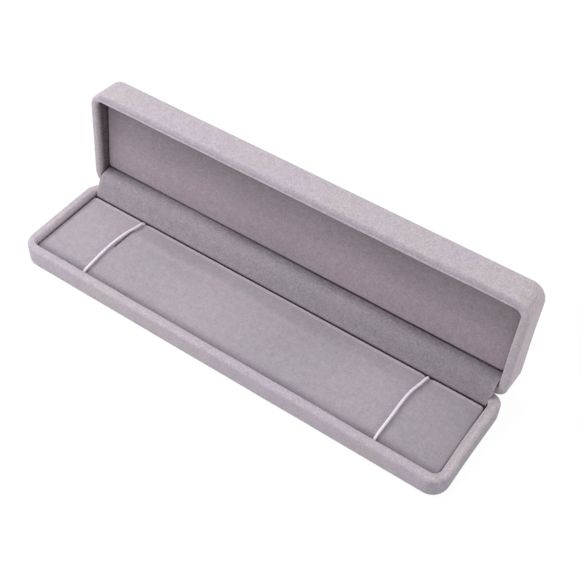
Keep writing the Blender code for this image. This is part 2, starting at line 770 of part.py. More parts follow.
def pierce_leaf(leaf, middle, leaf_line, height, group=None):
    """Holes for the moulded stakes."""
    radius = STAKE_RADIUS + CLEARANCE
    bm = bmesh.new()
    for side in (-1, 1):
        place = Matrix.Translation((middle + side * STAKE_SPREAD / 2, AXIS_Y + leaf_line, height))
        turn = Matrix.Rotation(pi / 2, 4, "X")
        bmesh.ops.create_cone(
            bm,
            cap_ends=True,
            segments=PIN_SIDES,
            radius1=radius,
            radius2=radius,
            depth=SHEET + 2 * CLEARANCE,
            matrix=place @ turn,
        )
    cutter = hide_cutter(finish_object(f"{leaf.name}_holes", bm, None, group))
    combine(leaf, cutter, "DIFFERENCE")


def build_pin(name, middle):
    """Hinge pin with chamfered ends."""
    bm = bmesh.new()
    turn = Matrix.Rotation(pi / 2, 4, "Y")
    place = Matrix.Translation((middle, AXIS_Y, AXIS_Z))
    bmesh.ops.create_cone(
        bm,
        cap_ends=True,
        segments=PIN_SIDES,
        radius1=PIN_RADIUS,
        radius2=PIN_RADIUS,
        depth=HINGE_LENGTH,
        matrix=place @ turn,
    )
    ends = [e for e in bm.edges if abs(e.verts[0].co.x - e.verts[1].co.x) < CLEARANCE]
    bmesh.ops.bevel(bm, geom=ends, offset=PIN_RADIUS / 4, affect="EDGES", segments=1, profile=0.5)
    finish_object(name, bm, PLATED_STEEL)


def opened(point):
    """Where a point of the closed lid, given from the hinge axis, lies when the lid is open."""
    y, z = point
    return (
        y * cos(OPEN_ANGLE) + z * sin(OPEN_ANGLE),
        -y * sin(OPEN_ANGLE) + z * cos(OPEN_ANGLE),
    )


def fillet(start, corner, stop, radius, steps):
    """Points of the arc that rounds a corner between two straight runs."""
    corner = Vector(corner)
    back = (Vector(start) - corner).normalized()
    ahead = (Vector(stop) - corner).normalized()
    half_angle = acos(back.dot(ahead)) / 2
    centre = corner + (back + ahead).normalized() * (radius / sin(half_angle))
    first = corner + back * (radius * cos(half_angle) / sin(half_angle)) - centre
    sweep = degrees(pi - 2 * half_angle)
    start_angle = degrees(first.angle_signed(Vector((1.0, 0.0))))
    return arc(centre, radius, start_angle, start_angle - sweep, steps)


def spring_path():
    """Path of the blade spring at the open pose, from the base leaf's foot to the lid leaf's end."""
    ride = SHEET + CLEARANCE
    base_line = BASE_LEAF_LINE - ride
    lid_line = LID_LEAF_LINE - ride
    base_foot = -BASE_LEAF_REACH - CLEARANCE - SHEET / 2
    lid_foot = LID_LEAF_REACH + CLEARANCE + SHEET / 2
    lid_run = opened((lid_line, lid_foot))
    lid_start = opened((lid_line, 0.0))
    slope = (lid_run[1] - lid_start[1]) / (lid_run[0] - lid_start[0])
    corner = (base_line, lid_run[1] + slope * (base_line - lid_run[0]))
    arch = fillet((base_line, base_foot), corner, lid_run, SPRING_ARCH_RADIUS, 2 * ARC_STEPS)
    hook_in = [(base_line + SPRING_HOOK, base_foot), (base_line, base_foot)]
    hook_out = [lid_run, opened((lid_line + SPRING_HOOK, lid_foot))]
    return hook_in + arch + hook_out


def build_spring(name, middle):
    """Arched blade that hooks round the far edges of both leaves and snaps the lid."""
    outline = [(AXIS_Y + y, AXIS_Z + z) for y, z in thicken(spring_path(), SHEET)]
    half = SPRING_WIDTH / 2
    bm = bmesh.new()
    extrude_outline(bm, outline, middle - half, middle + half)
    finish_object(name, bm, PLATED_STEEL)


def build_hinges(group):
    """Both snap hinges: the base leaf, pin and spring stay, and the lid leaf turns."""
    half = HINGE_LENGTH / 2
    base_inner = half - BASE_FINGER
    lid_outer = base_inner - FINGER_ROOM
    lid_inner = lid_outer - LID_FINGER
    base_slots = ((-base_inner, base_inner, SPRING_SLOT_DROP),)
    lid_slots = (
        (-half - OVERRUN, -lid_outer, FINGER_SLOT_DROP),
        (-lid_inner, lid_inner, SPRING_SLOT_DROP),
        (lid_outer, half + OVERRUN, FINGER_SLOT_DROP),
    )
    for name, middle in hinge_places().items():
        leaf = build_leaf(
            f"hinge_base_leaf_{name}", middle, BASE_LEAF_LINE, BASE_LEAF_REACH, -1, base_slots
        )
        pierce_leaf(leaf, middle, BASE_LEAF_LINE, AXIS_Z - BASE_STAKE_DROP)
        leaf = build_leaf(
            f"hinge_lid_leaf_{name}", middle, LID_LEAF_LINE, LID_LEAF_REACH, 1, lid_slots, group
        )
        pierce_leaf(leaf, middle, LID_LEAF_LINE, AXIS_Z + LID_STAKE_RISE, group)
        build_pin(f"hinge_pin_{name}", middle)
        build_spring(f"hinge_spring_{name}", middle)


def build_cover_strip():
    """Velvet strip over the hinges, from behind the pad to behind the lining's edge.

    Above the rims it is glued in a little off the middle.
    """
    front = PAD_REAR + COVER_STRIP_FOOT_ROOM - AXIS_Y
    foot = (front + COVER_STRIP_THICKNESS / 2, PAD_TOP - COVER_STRIP_THICKNESS - AXIS_Z)
    sole = FLOOR_TOP + CLEARANCE - AXIS_Z
    wall = LID_WALL - HINGE_INSET
    line = CLEARANCE + COVER_STRIP_THICKNESS / 2 - wall - LINING_REAR_ROOM
    face = LINING_FACE - LINING_HALF_Y * tan(LINING_TILT) - AXIS_Z
    top = opened((line, face))
    shares = [
        Vector((foot[0] + (top[0] - foot[0]) * a, foot[1] + (top[1] - foot[1]) * b, 0.0))
        for a, b in COVER_STRIP_SHARES
    ]
    route = smooth_route(shares, COVER_STRIP_THICKNESS)
    path = [(foot[0], sole)] + [(point.x, point.y) for point in route]
    path += [opened((line, face + COVER_STRIP_TUCK))]
    outline = [(AXIS_Y + y, AXIS_Z + z) for y, z in thicken(path, COVER_STRIP_THICKNESS)]
    half = HALF_LENGTH - BASE_WALL - COVER_STRIP_END_ROOM
    bm = bmesh.new()
    extrude_outline(bm, outline, -half, half)
    for vert in bm.verts:
        share = (vert.co.z - BASE_HEIGHT) / COVER_STRIP_SHIFT_RISE
        vert.co.x += COVER_STRIP_SHIFT * min(max(share, 0.0), 1.0)
    finish_object("hinge_cover_strip", bm, VELVET_PAD)


def report_cord(name, route):
    """Print a cord's length along its route."""
    points = smooth_route(route, CORD_STEP)
    length = sum((b - a).length for a, b in zip(points, points[1:]))
    print(f"{name}: {length * 1000:.1f} mm of cord, {len(points)} points")


def main():
    """Build every piece of the box."""
    remove_everything()
    lid_axis = make_empty("lid_axis", (0.0, AXIS_Y, AXIS_Z), -OPEN_ANGLE)
    pad_seat = make_empty("pad_seat", (0.0, PAD_MIDDLE_Y, PAD_BOTTOM))
    routes = {
        "left": place_route(LEFT_CORD_ROUTE, -1),
        "right": place_route(RIGHT_CORD_ROUTE, 1),
    }
    build_base()
    build_lid(lid_axis)
    build_pad(routes.values(), pad_seat)
    build_lining(lid_axis)
    for side, route in routes.items():
        build_cord(f"elastic_cord_{side}", route, pad_seat)
        build_knot(f"elastic_knot_{side}", route, pad_seat)
        report_cord(f"elastic_cord_{side}", route)
    build_hinges(lid_axis)
    build_cover_strip()


main()
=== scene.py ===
"""Dresses a long velvet necklace box that stands open, in a pale studio.

Metres, +Z up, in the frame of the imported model: X runs along the box and Y from front to back.
The lid and its lining are modelled closed and turned open about the hinge axis.
"""

import json
import logging
from collections.abc import Callable, Iterable, Sequence
from dataclasses import dataclass, field
from enum import Enum
from math import acos, atan2, cos, degrees, exp, hypot, pi, radians, sin, tan

import bmesh
import bpy
from mathutils import Euler, Matrix, Vector, noise

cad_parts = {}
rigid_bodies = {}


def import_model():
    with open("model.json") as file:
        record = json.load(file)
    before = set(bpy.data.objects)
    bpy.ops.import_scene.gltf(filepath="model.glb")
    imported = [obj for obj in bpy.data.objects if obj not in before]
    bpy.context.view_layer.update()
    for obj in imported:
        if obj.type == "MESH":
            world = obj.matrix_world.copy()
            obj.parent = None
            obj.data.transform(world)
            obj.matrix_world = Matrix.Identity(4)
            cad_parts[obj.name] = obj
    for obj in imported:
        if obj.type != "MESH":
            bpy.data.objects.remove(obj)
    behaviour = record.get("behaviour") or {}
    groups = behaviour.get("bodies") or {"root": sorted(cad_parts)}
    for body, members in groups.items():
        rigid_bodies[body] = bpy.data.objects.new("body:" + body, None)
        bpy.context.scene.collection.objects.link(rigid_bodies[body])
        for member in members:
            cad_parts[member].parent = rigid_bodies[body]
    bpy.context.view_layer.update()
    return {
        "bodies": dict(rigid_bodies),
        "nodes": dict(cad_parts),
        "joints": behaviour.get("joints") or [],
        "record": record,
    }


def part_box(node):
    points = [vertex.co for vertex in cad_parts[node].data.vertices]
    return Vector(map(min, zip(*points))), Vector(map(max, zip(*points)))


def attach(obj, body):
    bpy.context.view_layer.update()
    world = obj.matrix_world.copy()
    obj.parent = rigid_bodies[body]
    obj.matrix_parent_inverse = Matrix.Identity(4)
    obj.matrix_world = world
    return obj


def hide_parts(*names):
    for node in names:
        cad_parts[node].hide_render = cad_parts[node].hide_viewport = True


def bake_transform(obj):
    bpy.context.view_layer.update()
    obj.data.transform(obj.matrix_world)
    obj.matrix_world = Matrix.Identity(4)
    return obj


Colour = tuple[float, float, float]
Point = tuple[float, float, float]
Flat = tuple[float, float]

LOG = logging.getLogger("necklace_box")

OPEN_ANGLE = radians(95.0)
SMOOTH_ANGLE = radians(40.0)
CLEARANCE = 0.0003
RIM_GAP = 0.0003
LID_WALL = 0.0041
# Vertex attributes: painted shade, which darkens the pile in recesses, gaps and folds where shade
# falls, and a tone value that carries random tone with painted light and shade
PAINTED_SHADE = "pressed"
TONE_AND_LIGHT = "nap"

# Without a seed the slow waves of the skins differ from run to run
WAVE_SEED = 3

# Cord routes round the pad: X counted from the slit beside the cord
LEFT_CORD_ROUTE = (
    (0.0006, 0.0021, 0.0039),
    (0.0010, 0.0060, 0.0038),
    (0.0016, 0.0120, 0.0035),
    (0.0021, 0.0170, 0.0035),
    (0.0022, 0.0191, 0.0039),
    (0.0022, 0.0195, 0.0052),
    (0.0022, 0.0195, 0.0074),
    (0.0022, 0.0190, 0.0091),
    (0.0020, 0.0174, 0.0099),
    (0.0015, 0.0140, 0.0101),
    (0.0004, 0.0090, 0.0103),
    (-0.0003, 0.0030, 0.0104),
    (-0.0006, -0.0030, 0.0104),
    (-0.0005, -0.0090, 0.0103),
    (-0.0002, -0.0140, 0.0102),
    (0.0000, -0.0180, 0.0100),
    (0.0000, -0.0198, 0.0098),
    (0.0000, -0.0213, 0.0091),
    (0.0000, -0.0218, 0.0074),
    (0.0000, -0.0218, 0.0052),
    (0.0000, -0.0214, 0.0039),
    (0.0000, -0.0193, 0.0035),
    (0.0000, -0.0130, 0.0035),
    (0.0003, -0.0060, 0.0038),
    (0.0006, -0.0021, 0.0039),
)
RIGHT_CORD_ROUTE = (
    (0.0012, 0.0021, 0.0039),
    (0.0014, 0.0060, 0.0038),
    (0.0020, 0.0120, 0.0035),
    (0.0025, 0.0170, 0.0035),
    (0.0026, 0.0191, 0.0039),
    (0.0026, 0.0195, 0.0052),
    (0.0026, 0.0195, 0.0074),
    (0.0026, 0.0190, 0.0091),
    (0.0025, 0.0174, 0.0099),
    (0.0018, 0.0135, 0.0101),
    (0.0009, 0.0090, 0.0103),
    (0.0004, 0.0047, 0.0104),
    (0.0003, -0.0010, 0.0104),
    (0.0004, -0.0075, 0.0104),
    (0.0004, -0.0130, 0.0102),
    (0.0003, -0.0175, 0.0100),
    (0.0004, -0.0198, 0.0098),
    (0.0004, -0.0213, 0.0091),
    (0.0004, -0.0218, 0.0074),
    (0.0004, -0.0218, 0.0052),
    (0.0004, -0.0214, 0.0039),
    (0.0004, -0.0193, 0.0035),
    (0.0006, -0.0130, 0.0035),
    (0.0009, -0.0060, 0.0038),
    (0.0012, -0.0021, 0.0039),
)


class Body(Enum):
    """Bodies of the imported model."""

    BASE = "base"
    LID = "lid"
    PAD = "pad"


class Slot(Enum):
    """Material slots of the record."""

    VELVET_OUTSIDE = "velvet_outside"
    VELVET_PAD = "velvet_pad"
    VELVET_LINING = "velvet_lining"
    MOULDED_GREY = "moulded_grey"
    FOAM = "foam"
    CARD = "card"
    ELASTIC = "elastic"
    PLATED_STEEL = "plated_steel"


class Side(Enum):
    """The two ends of the box, with their sign along X."""

    LEFT = -1
    RIGHT = 1

    @property
    def word(self) -> str:
        """Word that ends the names of this side's pieces."""
        return self.name.lower()


class Nodes:
    """Adds and links the nodes of one node tree."""

    def __init__(self, tree: bpy.types.ShaderNodeTree) -> None:
        """Work on the tree of a material, a group or the world."""
        self.tree = tree

    def add(self, kind: str, **settings: object) -> bpy.types.ShaderNode:
        """Add a node.

        Args:
            kind: Type name of the node.
            settings: Properties to set on it.

        Returns:
            The new node.
        """
        node = self.tree.nodes.new(kind)
        for name, value in settings.items():
            setattr(node, name, value)
        return node

    def feed(self, socket: bpy.types.NodeSocket, value: object) -> None:
        """Link a socket to another one, or set its value.

        Args:
            socket: The input.
            value: An output socket, a number or a colour.
        """
        if isinstance(value, bpy.types.NodeSocket):
            self.tree.links.new(value, socket)
        else:
            socket.default_value = value

    def give(self, node: bpy.types.ShaderNode, values: dict[str | int, object]) -> None:
        """Feed several inputs of a node, each by its name or number."""
        for name, value in values.items():
            self.feed(node.inputs[name], value)

    def math(
        self, operation: str, first: object, second: object = 0.0, clamp: bool = False
    ) -> bpy.types.NodeSocket:
        """Combine two values.

        Args:
            operation: Name of the operation.
            first: A socket or a number.
            second: A socket or a number.
            clamp: Whether the result is kept from 0 to 1.

        Returns:
            The result's socket.
        """
        node = self.add("ShaderNodeMath", operation=operation, use_clamp=clamp)
        self.give(node, {0: first, 1: second})
        return node.outputs[0]

    def noise(self, place: object, size: object, detail: float = 2.0) -> bpy.types.NodeSocket:
        """Noise whose lumps have a given size.

        Args:
            place: Socket with coordinates in metres.
            size: Size of a lump in metres, a socket or a number.
            detail: Octaves of finer noise.

        Returns:
            Socket with values around a half.
        """
        scale = self.math("DIVIDE", 1.0, size)
        node = self.add("ShaderNodeTexNoise")
        self.give(node, {"Vector": place, "Scale": scale, "Detail": detail})
        return node.outputs["Fac"]

    def sway(self, value: object, share: object) -> bpy.types.NodeSocket:
        """Turn noise around a half into a factor that goes by a share from one."""
        centred = self.math("MULTIPLY", self.math("SUBTRACT", value, 0.5), 2.0)
        return self.math("ADD", self.math("MULTIPLY", centred, share), 1.0)

    def mix(self, share: object, first: object, second: object) -> bpy.types.NodeSocket:
        """Blend two colours.

        Args:
            share: Share of the second one.
            first: A socket or a colour.
            second: A socket or a colour.

        Returns:
            Socket with the blend.
        """
        node = self.add("ShaderNodeMix", data_type="RGBA")
        self.give(node, {"Factor": share, "A": first, "B": second})
        return node.outputs["Result"]

    def tint(self, colour: object, factor: object) -> bpy.types.NodeSocket:
        """Multiply a colour by a factor.

        Args:
            colour: A socket or a colour.
            factor: A socket or a number.

        Returns:
            Socket with the colour.
        """
        node = self.add("ShaderNodeVectorMath", operation="SCALE")
        self.give(node, {0: colour, "Scale": factor})
        return node.outputs[0]


def sockets(kind: str, *names: str) -> dict[str, str]:
    """Group sockets of one kind by name."""
    return dict.fromkeys(names, f"NodeSocket{kind}")


class EffectGroup:
    """A shader node group that several materials place with their own values."""

    name = ""
    inputs: dict[str, str] = {}
    outputs = {**sockets("Color", "Colour"), **sockets("Float", "Roughness", "Height")}

    @classmethod
    def tree(cls) -> bpy.types.ShaderNodeTree:
        """The group's tree, built the first time.

        Returns:
            The node group.
        """
        found = bpy.data.node_groups.get(cls.name)
        if found is not None:
            return found
        tree = bpy.data.node_groups.new(cls.name, "ShaderNodeTree")
        for way, kinds in (("INPUT", cls.inputs), ("OUTPUT", cls.outputs)):
            for name, kind in kinds.items():
                tree.interface.new_socket(name=name, in_out=way, socket_type=kind)
        nodes = Nodes(tree)
        source = nodes.add("NodeGroupInput")
        target = nodes.add("NodeGroupOutput")
        nodes.give(target, cls.wire(nodes, source.outputs))
        return tree

    @classmethod
    def wire(cls, nodes: Nodes, given: bpy.types.NodeOutputs) -> dict[str, object]:
        """Build the inside of the group.

        Args:
            nodes: Helper for the group's tree.
            given: Sockets of the group's inputs.

        Returns:
            Colour, roughness and height of the surface.
        """
        raise NotImplementedError

    @classmethod
    def place(cls, nodes: Nodes, **values: object) -> bpy.types.ShaderNode:
        """Put the group into a material.

        Args:
            nodes: Helper for the material's tree.
            values: Input values by name, with _ for a space.

        Returns:
            The group node.
        """
        node = nodes.add("ShaderNodeGroup", node_tree=cls.tree())
        for name, value in values.items():
            nodes.feed(node.inputs[name.replace("_", " ").capitalize()], value)
        return node


class Pile(EffectGroup):
    """Velvet pile: grain, brushed patches, clouds of turned pile, painted light and shade, and
    painted shade in recesses, gaps and folds.
    """

    name = "velvet_pile"
    grain_detail = 3.0
    # Grain contrast grows where shade is painted
    pressed_grain = 1.5
    turn_spread = 3.0
    least_roughness = 0.86
    roughness_span = 0.12
    grain_height = 0.7
    # Inputs: a mask of painted shade with its dark colour, and a tone value with random tone and
    # painted light and shade
    inputs = {
        **sockets("Vector", "Place"),
        **sockets("Color", "Colour", "Turned colour", "Pressed colour"),
        **sockets("Float", "Pressed", "Nap", "Nap share", "Grain size", "Grain share"),
        **sockets("Float", "Patch size", "Patch share", "Cloud size", "Cloud share"),
    }

    @classmethod
    def wire(cls, nodes: Nodes, given: bpy.types.NodeOutputs) -> dict[str, object]:
        """Build the inside of the group.

        Args:
            nodes: Helper for the group's tree.
            given: Sockets of the group's inputs.

        Returns:
            Colour, roughness and height of the pile.
        """
        grain = nodes.noise(given["Place"], given["Grain size"], cls.grain_detail)
        patch = nodes.noise(given["Place"], given["Patch size"])
        cloud = nodes.noise(given["Place"], given["Cloud size"])
        deeper = nodes.math("MULTIPLY", given["Pressed"], cls.pressed_grain)
        depth = nodes.math("ADD", deeper, 1.0)
        fine = nodes.sway(grain, nodes.math("MULTIPLY", given["Grain share"], depth))
        broad = nodes.math(
            "MULTIPLY",
            nodes.sway(patch, given["Patch share"]),
            nodes.sway(cloud, given["Cloud share"]),
        )
        # Painted light and shade, with random tone, brighten or darken the colour
        tone_and_light = nodes.math("ADD", nodes.math("MULTIPLY", given["Nap"], given["Nap share"]), 1.0)
        tone = nodes.math("MULTIPLY", nodes.math("MULTIPLY", fine, broad), tone_and_light)
        drift = nodes.math("MULTIPLY", nodes.math("SUBTRACT", cloud, 0.5), cls.turn_spread)
        # Where the painted tone darkens, the hue also shifts towards the turned colour
        turned = nodes.math("SUBTRACT", nodes.math("ADD", drift, 0.5), given["Nap"], clamp=True)
        brushed = nodes.mix(turned, given["Colour"], given["Turned colour"])
        # Painted shade: the dark colour is mixed in where shade falls
        colour = nodes.mix(given["Pressed"], brushed, given["Pressed colour"])
        rougher = nodes.math("MULTIPLY", patch, cls.roughness_span)
        roughness = nodes.math("ADD", rougher, cls.least_roughness)
        height = nodes.math(
            "ADD",
            nodes.math("MULTIPLY", grain, cls.grain_height),
            nodes.math("MULTIPLY", patch, 1.0 - cls.grain_height),
        )
        return {"Colour": nodes.tint(colour, tone), "Roughness": roughness, "Height": height}


class Grain(EffectGroup):
    """Grain of a hard, foamed or woven surface, with scuffed spots."""

    name = "surface_grain"
    grain_detail = 3.0
    wear_detail = 4.0
    wear_gloss = 0.2
    inputs = {
        **sockets("Vector", "Place"),
        **sockets("Color", "Colour", "Worn colour"),
        **sockets("Float", "Grain size", "Grain share", "Wear size", "Wear share", "Roughness"),
    }

    @classmethod
    def wire(cls, nodes: Nodes, given: bpy.types.NodeOutputs) -> dict[str, object]:
        """Build the inside of the group.

        Args:
            nodes: Helper for the group's tree.
            given: Sockets of the group's inputs.

        Returns:
            Colour, roughness and height of the surface.
        """
        grain = nodes.noise(given["Place"], given["Grain size"], cls.grain_detail)
        wear = nodes.noise(given["Place"], given["Wear size"], cls.wear_detail)
        worn = nodes.math("MULTIPLY", wear, given["Wear share"])
        mixed = nodes.mix(worn, given["Colour"], given["Worn colour"])
        colour = nodes.tint(mixed, nodes.sway(grain, given["Grain share"]))
        gloss = nodes.sway(wear, cls.wear_gloss)
        roughness = nodes.math("MULTIPLY", given["Roughness"], gloss)
        return {"Colour": colour, "Roughness": roughness, "Height": grain}


@dataclass(frozen=True)
class Finish:
    """A finish, with the slot of the record that its pieces fill."""

    name: str
    slot: Slot
    colour: Colour

    def start(self) -> tuple[bpy.types.Material, Nodes, bpy.types.ShaderNode]:
        """Make the material.

        Returns:
            The material, the helper for its nodes and its Principled shader.
        """
        material = bpy.data.materials.new(self.name)
        material.use_nodes = True
        return material, Nodes(material.node_tree), material.node_tree.nodes["Principled BSDF"]

    def values(self, *names: str) -> dict[str, float]:
        """The finish's own values of these names, for its effect group."""
        return {name: getattr(self, name) for name in names}

    def material(self) -> bpy.types.Material:
        """Build the material."""
        raise NotImplementedError


def coat(
    nodes: Nodes,
    shader: bpy.types.ShaderNode,
    effect: bpy.types.ShaderNode,
    depth: float,
    strength: float,
) -> None:
    """Feed the colour, roughness and height of an effect to a shader.

    Args:
        nodes: Helper for the material's tree.
        shader: The Principled shader.
        effect: The placed effect group.
        depth: What a height of 1 stands for, in metres.
        strength: Strength of the bump.
    """
    bump = nodes.add("ShaderNodeBump")
    height = effect.outputs["Height"]
    nodes.give(bump, {"Distance": depth, "Strength": strength, "Height": height})
    look = {"Base Color": effect.outputs["Colour"], "Roughness": effect.outputs["Roughness"]}
    nodes.give(shader, {**look, "Normal": bump.outputs["Normal"]})


@dataclass(frozen=True)
class Velvet(Finish):
    """A velvet finish: pile brushed and turned, painted light and shade, grain, clouds and sheen.
    """

    # Colour of turned pile in random clouds, and the hue that painted shade shifts towards
    turned: Colour
    # Dark colour of painted shade in recesses, gaps and folds
    pressed: Colour
    sheen_tint: Colour = (0.92, 0.86, 0.92)
    nap_share: float = 0.12
    grain_size: float = 0.0008
    grain_share: float = 0.36
    patch_size: float = 0.0032
    patch_share: float = 0.12
    cloud_size: float = 0.0220
    cloud_share: float = 0.06
    pile_height: float = 0.0004
    pile_strength: float = 0.6
    sheen: float = 0.5
    sheen_roughness: float = 0.32
    specular: float = 0.12

    def material(self) -> bpy.types.Material:
        """Build the material.

        Returns:
            The velvet material.
        """
        material, nodes, shader = self.start()
        pile = Pile.place(
            nodes,
            place=nodes.add("ShaderNodeTexCoord").outputs["Object"],
            colour=(*self.colour, 1.0),
            turned_colour=(*self.turned, 1.0),
            pressed_colour=(*self.pressed, 1.0),
            # Mesh attributes that carry painted shade, and tone with painted light and shade
            pressed=nodes.add("ShaderNodeAttribute", attribute_name=PAINTED_SHADE).outputs["Fac"],
            nap=nodes.add("ShaderNodeAttribute", attribute_name=TONE_AND_LIGHT).outputs["Fac"],
            **self.values("nap_share", "grain_size", "grain_share"),
            **self.values("patch_size", "patch_share", "cloud_size", "cloud_share"),
        )
        coat(nodes, shader, pile, self.pile_height, self.pile_strength)
        shader.inputs["Sheen Weight"].default_value = self.sheen
        shader.inputs["Sheen Roughness"].default_value = self.sheen_roughness
        shader.inputs["Sheen Tint"].default_value = (*self.sheen_tint, 1.0)
        shader.inputs["Specular IOR Level"].default_value = self.specular
        return material


@dataclass(frozen=True)
class Grained(Finish):
    """A hard, foamed or woven finish with grain and scuffs."""

    worn: Colour
    roughness: float
    grain_size: float
    grain_share: float
    wear_size: float
    wear_share: float
    depth: float
    strength: float = 0.5
    stretch: Point = (1.0, 1.0, 1.0)
    metallic: float = 0.0

    def material(self) -> bpy.types.Material:
        """Build the material.

        Returns:
            The material.
        """
        material, nodes, shader = self.start()
        mapping = nodes.add("ShaderNodeMapping")
        place = nodes.add("ShaderNodeTexCoord").outputs["Object"]
        nodes.give(mapping, {"Vector": place, "Scale": self.stretch})
        grain = Grain.place(
            nodes,
            place=mapping.outputs["Vector"],
            colour=(*self.colour, 1.0),
            worn_colour=(*self.worn, 1.0),
            **self.values("grain_size", "grain_share", "wear_size", "wear_share", "roughness"),
        )
        coat(nodes, shader, grain, self.depth, self.strength)
        shader.inputs["Metallic"].default_value = self.metallic
        return material


@dataclass(frozen=True)
class Finishes:
    """Every finish of the box."""

    # Each velvet's third colour is the dark colour of its painted shade
    outside: Finish = Velvet(
        "velvet_outside",
        Slot.VELVET_OUTSIDE,
        colour=(0.575, 0.510, 0.550),
        turned=(0.540, 0.478, 0.550),
        pressed=(0.150, 0.122, 0.140),
    )
    pad: Finish = Velvet(
        "velvet_pad",
        Slot.VELVET_PAD,
        colour=(0.468, 0.412, 0.460),
        turned=(0.430, 0.392, 0.438),
        pressed=(0.070, 0.060, 0.075),
        nap_share=0.13,
        grain_share=0.21,
    )
    strip: Finish = Velvet(
        "velvet_strip",
        Slot.VELVET_PAD,
        colour=(0.396, 0.344, 0.386),
        turned=(0.358, 0.324, 0.364),
        pressed=(0.060, 0.050, 0.062),
        nap_share=0.14,
        grain_share=0.42,
    )
    lining: Finish = Velvet(
        "velvet_lining",
        Slot.VELVET_LINING,
        colour=(0.424, 0.347, 0.404),
        turned=(0.392, 0.334, 0.382),
        pressed=(0.070, 0.056, 0.070),
        nap_share=0.13,
        grain_share=0.34,
    )
    moulded: Finish = Grained(
        "moulded_grey",
        Slot.MOULDED_GREY,
        colour=(0.21, 0.19, 0.21),
        worn=(0.30, 0.28, 0.30),
        roughness=0.55,
        grain_size=0.0005,
        grain_share=0.08,
        wear_size=0.0120,
        wear_share=0.5,
        depth=0.00004,
    )
    foam: Finish = Grained(
        "foam",
        Slot.FOAM,
        colour=(0.72, 0.70, 0.64),
        worn=(0.55, 0.50, 0.40),
        roughness=0.95,
        grain_size=0.0006,
        grain_share=0.35,
        wear_size=0.0080,
        wear_share=0.4,
        depth=0.0003,
    )
    card: Finish = Grained(
        "card",
        Slot.CARD,
        colour=(0.40, 0.37, 0.33),
        worn=(0.28, 0.25, 0.22),
        roughness=0.85,
        grain_size=0.0008,
        grain_share=0.22,
        wear_size=0.0060,
        wear_share=0.6,
        depth=0.00005,
        stretch=(0.3, 1.0, 1.0),
    )
    elastic: Finish = Grained(
        "elastic",
        Slot.ELASTIC,
        colour=(0.99, 0.955, 1.00),
        worn=(0.90, 0.84, 1.00),
        roughness=0.5,
        grain_size=0.0002,
        grain_share=0.05,
        wear_size=0.0030,
        wear_share=0.4,
        depth=0.00005,
    )
    steel: Finish = Grained(
        "plated_steel",
        Slot.PLATED_STEEL,
        colour=(0.62, 0.61, 0.58),
        worn=(0.45, 0.43, 0.40),
        roughness=0.33,
        grain_size=0.0004,
        grain_share=0.08,
        wear_size=0.0030,
        wear_share=0.5,
        depth=0.00002,
        stretch=(0.1, 1.0, 1.0),
        metallic=1.0,
    )


class Palette:
    """Makes each finish's material once."""

    def __init__(self) -> None:
        """Start with no material made."""
        self.made: dict[str, bpy.types.Material] = {}

    def material(self, finish: Finish) -> bpy.types.Material:
        """The material of a finish.

        Args:
            finish: The finish.

        Returns:
            Its material, shared by all its pieces.
        """
        if finish.name not in self.made:
            self.made[finish.name] = finish.material()
        return self.made[finish.name]


def link_object(name: str, content: bpy.types.ID) -> bpy.types.Object:
    """Put a mesh, a light or a camera into the scene.

    Args:
        name: The object's name.
        content: Its data.

    Returns:
        The object, at the origin.
    """
    made = bpy.data.objects.new(name, content)
    bpy.context.scene.collection.objects.link(made)
    return made


def mesh_object(name: str, bm: bmesh.types.BMesh) -> bpy.types.Object:
    """Turn a bmesh into an object at the origin, and free it.

    Args:
        name: Name of the object and its mesh.
        bm: Its shape.

    Returns:
        The object.
    """
    mesh = bpy.data.meshes.new(name)
    bm.to_mesh(mesh)
    bm.free()
    return link_object(name, mesh)


@dataclass
class Workshop:
    """What every sub-assembly needs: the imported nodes, the palette and the finishes."""

    nodes: dict[str, bpy.types.Object]
    palette: Palette = field(default_factory=Palette)
    finishes: Finishes = field(default_factory=Finishes)

    def keep(self, finish: Finish, names: Iterable[str]) -> None:
        """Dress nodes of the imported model, whose meshes stay.

        Args:
            finish: Their finish.
            names: The nodes' names.
        """
        for name in names:
            for place in self.nodes[name].material_slots:
                place.material = self.palette.material(finish)
            LOG.info("%s keeps its solid, in %s", name, finish.name)

    def piece(self, name: str, bm: bmesh.types.BMesh, finish: Finish) -> bpy.types.Object:
        """Make a smooth piece in its finish.

        Args:
            name: The piece's name.
            bm: Its shape, in box coordinates.
            finish: Its finish.

        Returns:
            The object.
        """
        piece = mesh_object(name, bm)
        piece.data.shade_smooth()
        piece.data.set_sharp_from_angle(angle=SMOOTH_ANGLE)
        piece.data.materials.append(self.palette.material(finish))
        return piece

    def seat(self, piece: bpy.types.Object, body: Body, *nodes: str) -> None:
        """Let a piece ride on a body in place of nodes, and report it.

        Args:
            piece: The finished piece.
            body: The body that carries it.
            nodes: The nodes that it stands for.
        """
        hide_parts(*nodes)
        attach(piece, body.value)
        LOG.info("%s: %d faces on %s", piece.name, len(piece.data.polygons), body.value)

    def bend(self, piece: bpy.types.Object, node: str, start: Flat, end: Flat) -> None:
        """Stand a piece in place of a node, with its place baked into its mesh, and report it.

        Args:
            piece: The finished piece.
            node: The node that it stands for.
            start: Where it leaves the base, as (y, z); not used.
            end: Where it joins the lid, as (y, z); not used.
        """
        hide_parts(node)
        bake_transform(piece)
        LOG.info("%s: %d faces, bends with the lid", piece.name, len(piece.data.polygons))


def bake(piece: bpy.types.Object) -> None:
    """Apply a piece's modifiers to its mesh.

    Args:
        piece: The piece.
    """
    evaluated = piece.evaluated_get(bpy.context.evaluated_depsgraph_get())
    old = piece.data
    piece.data = bpy.data.meshes.new_from_object(evaluated)
    piece.modifiers.clear()
    name = old.name
    bpy.data.meshes.remove(old)
    piece.data.name = name


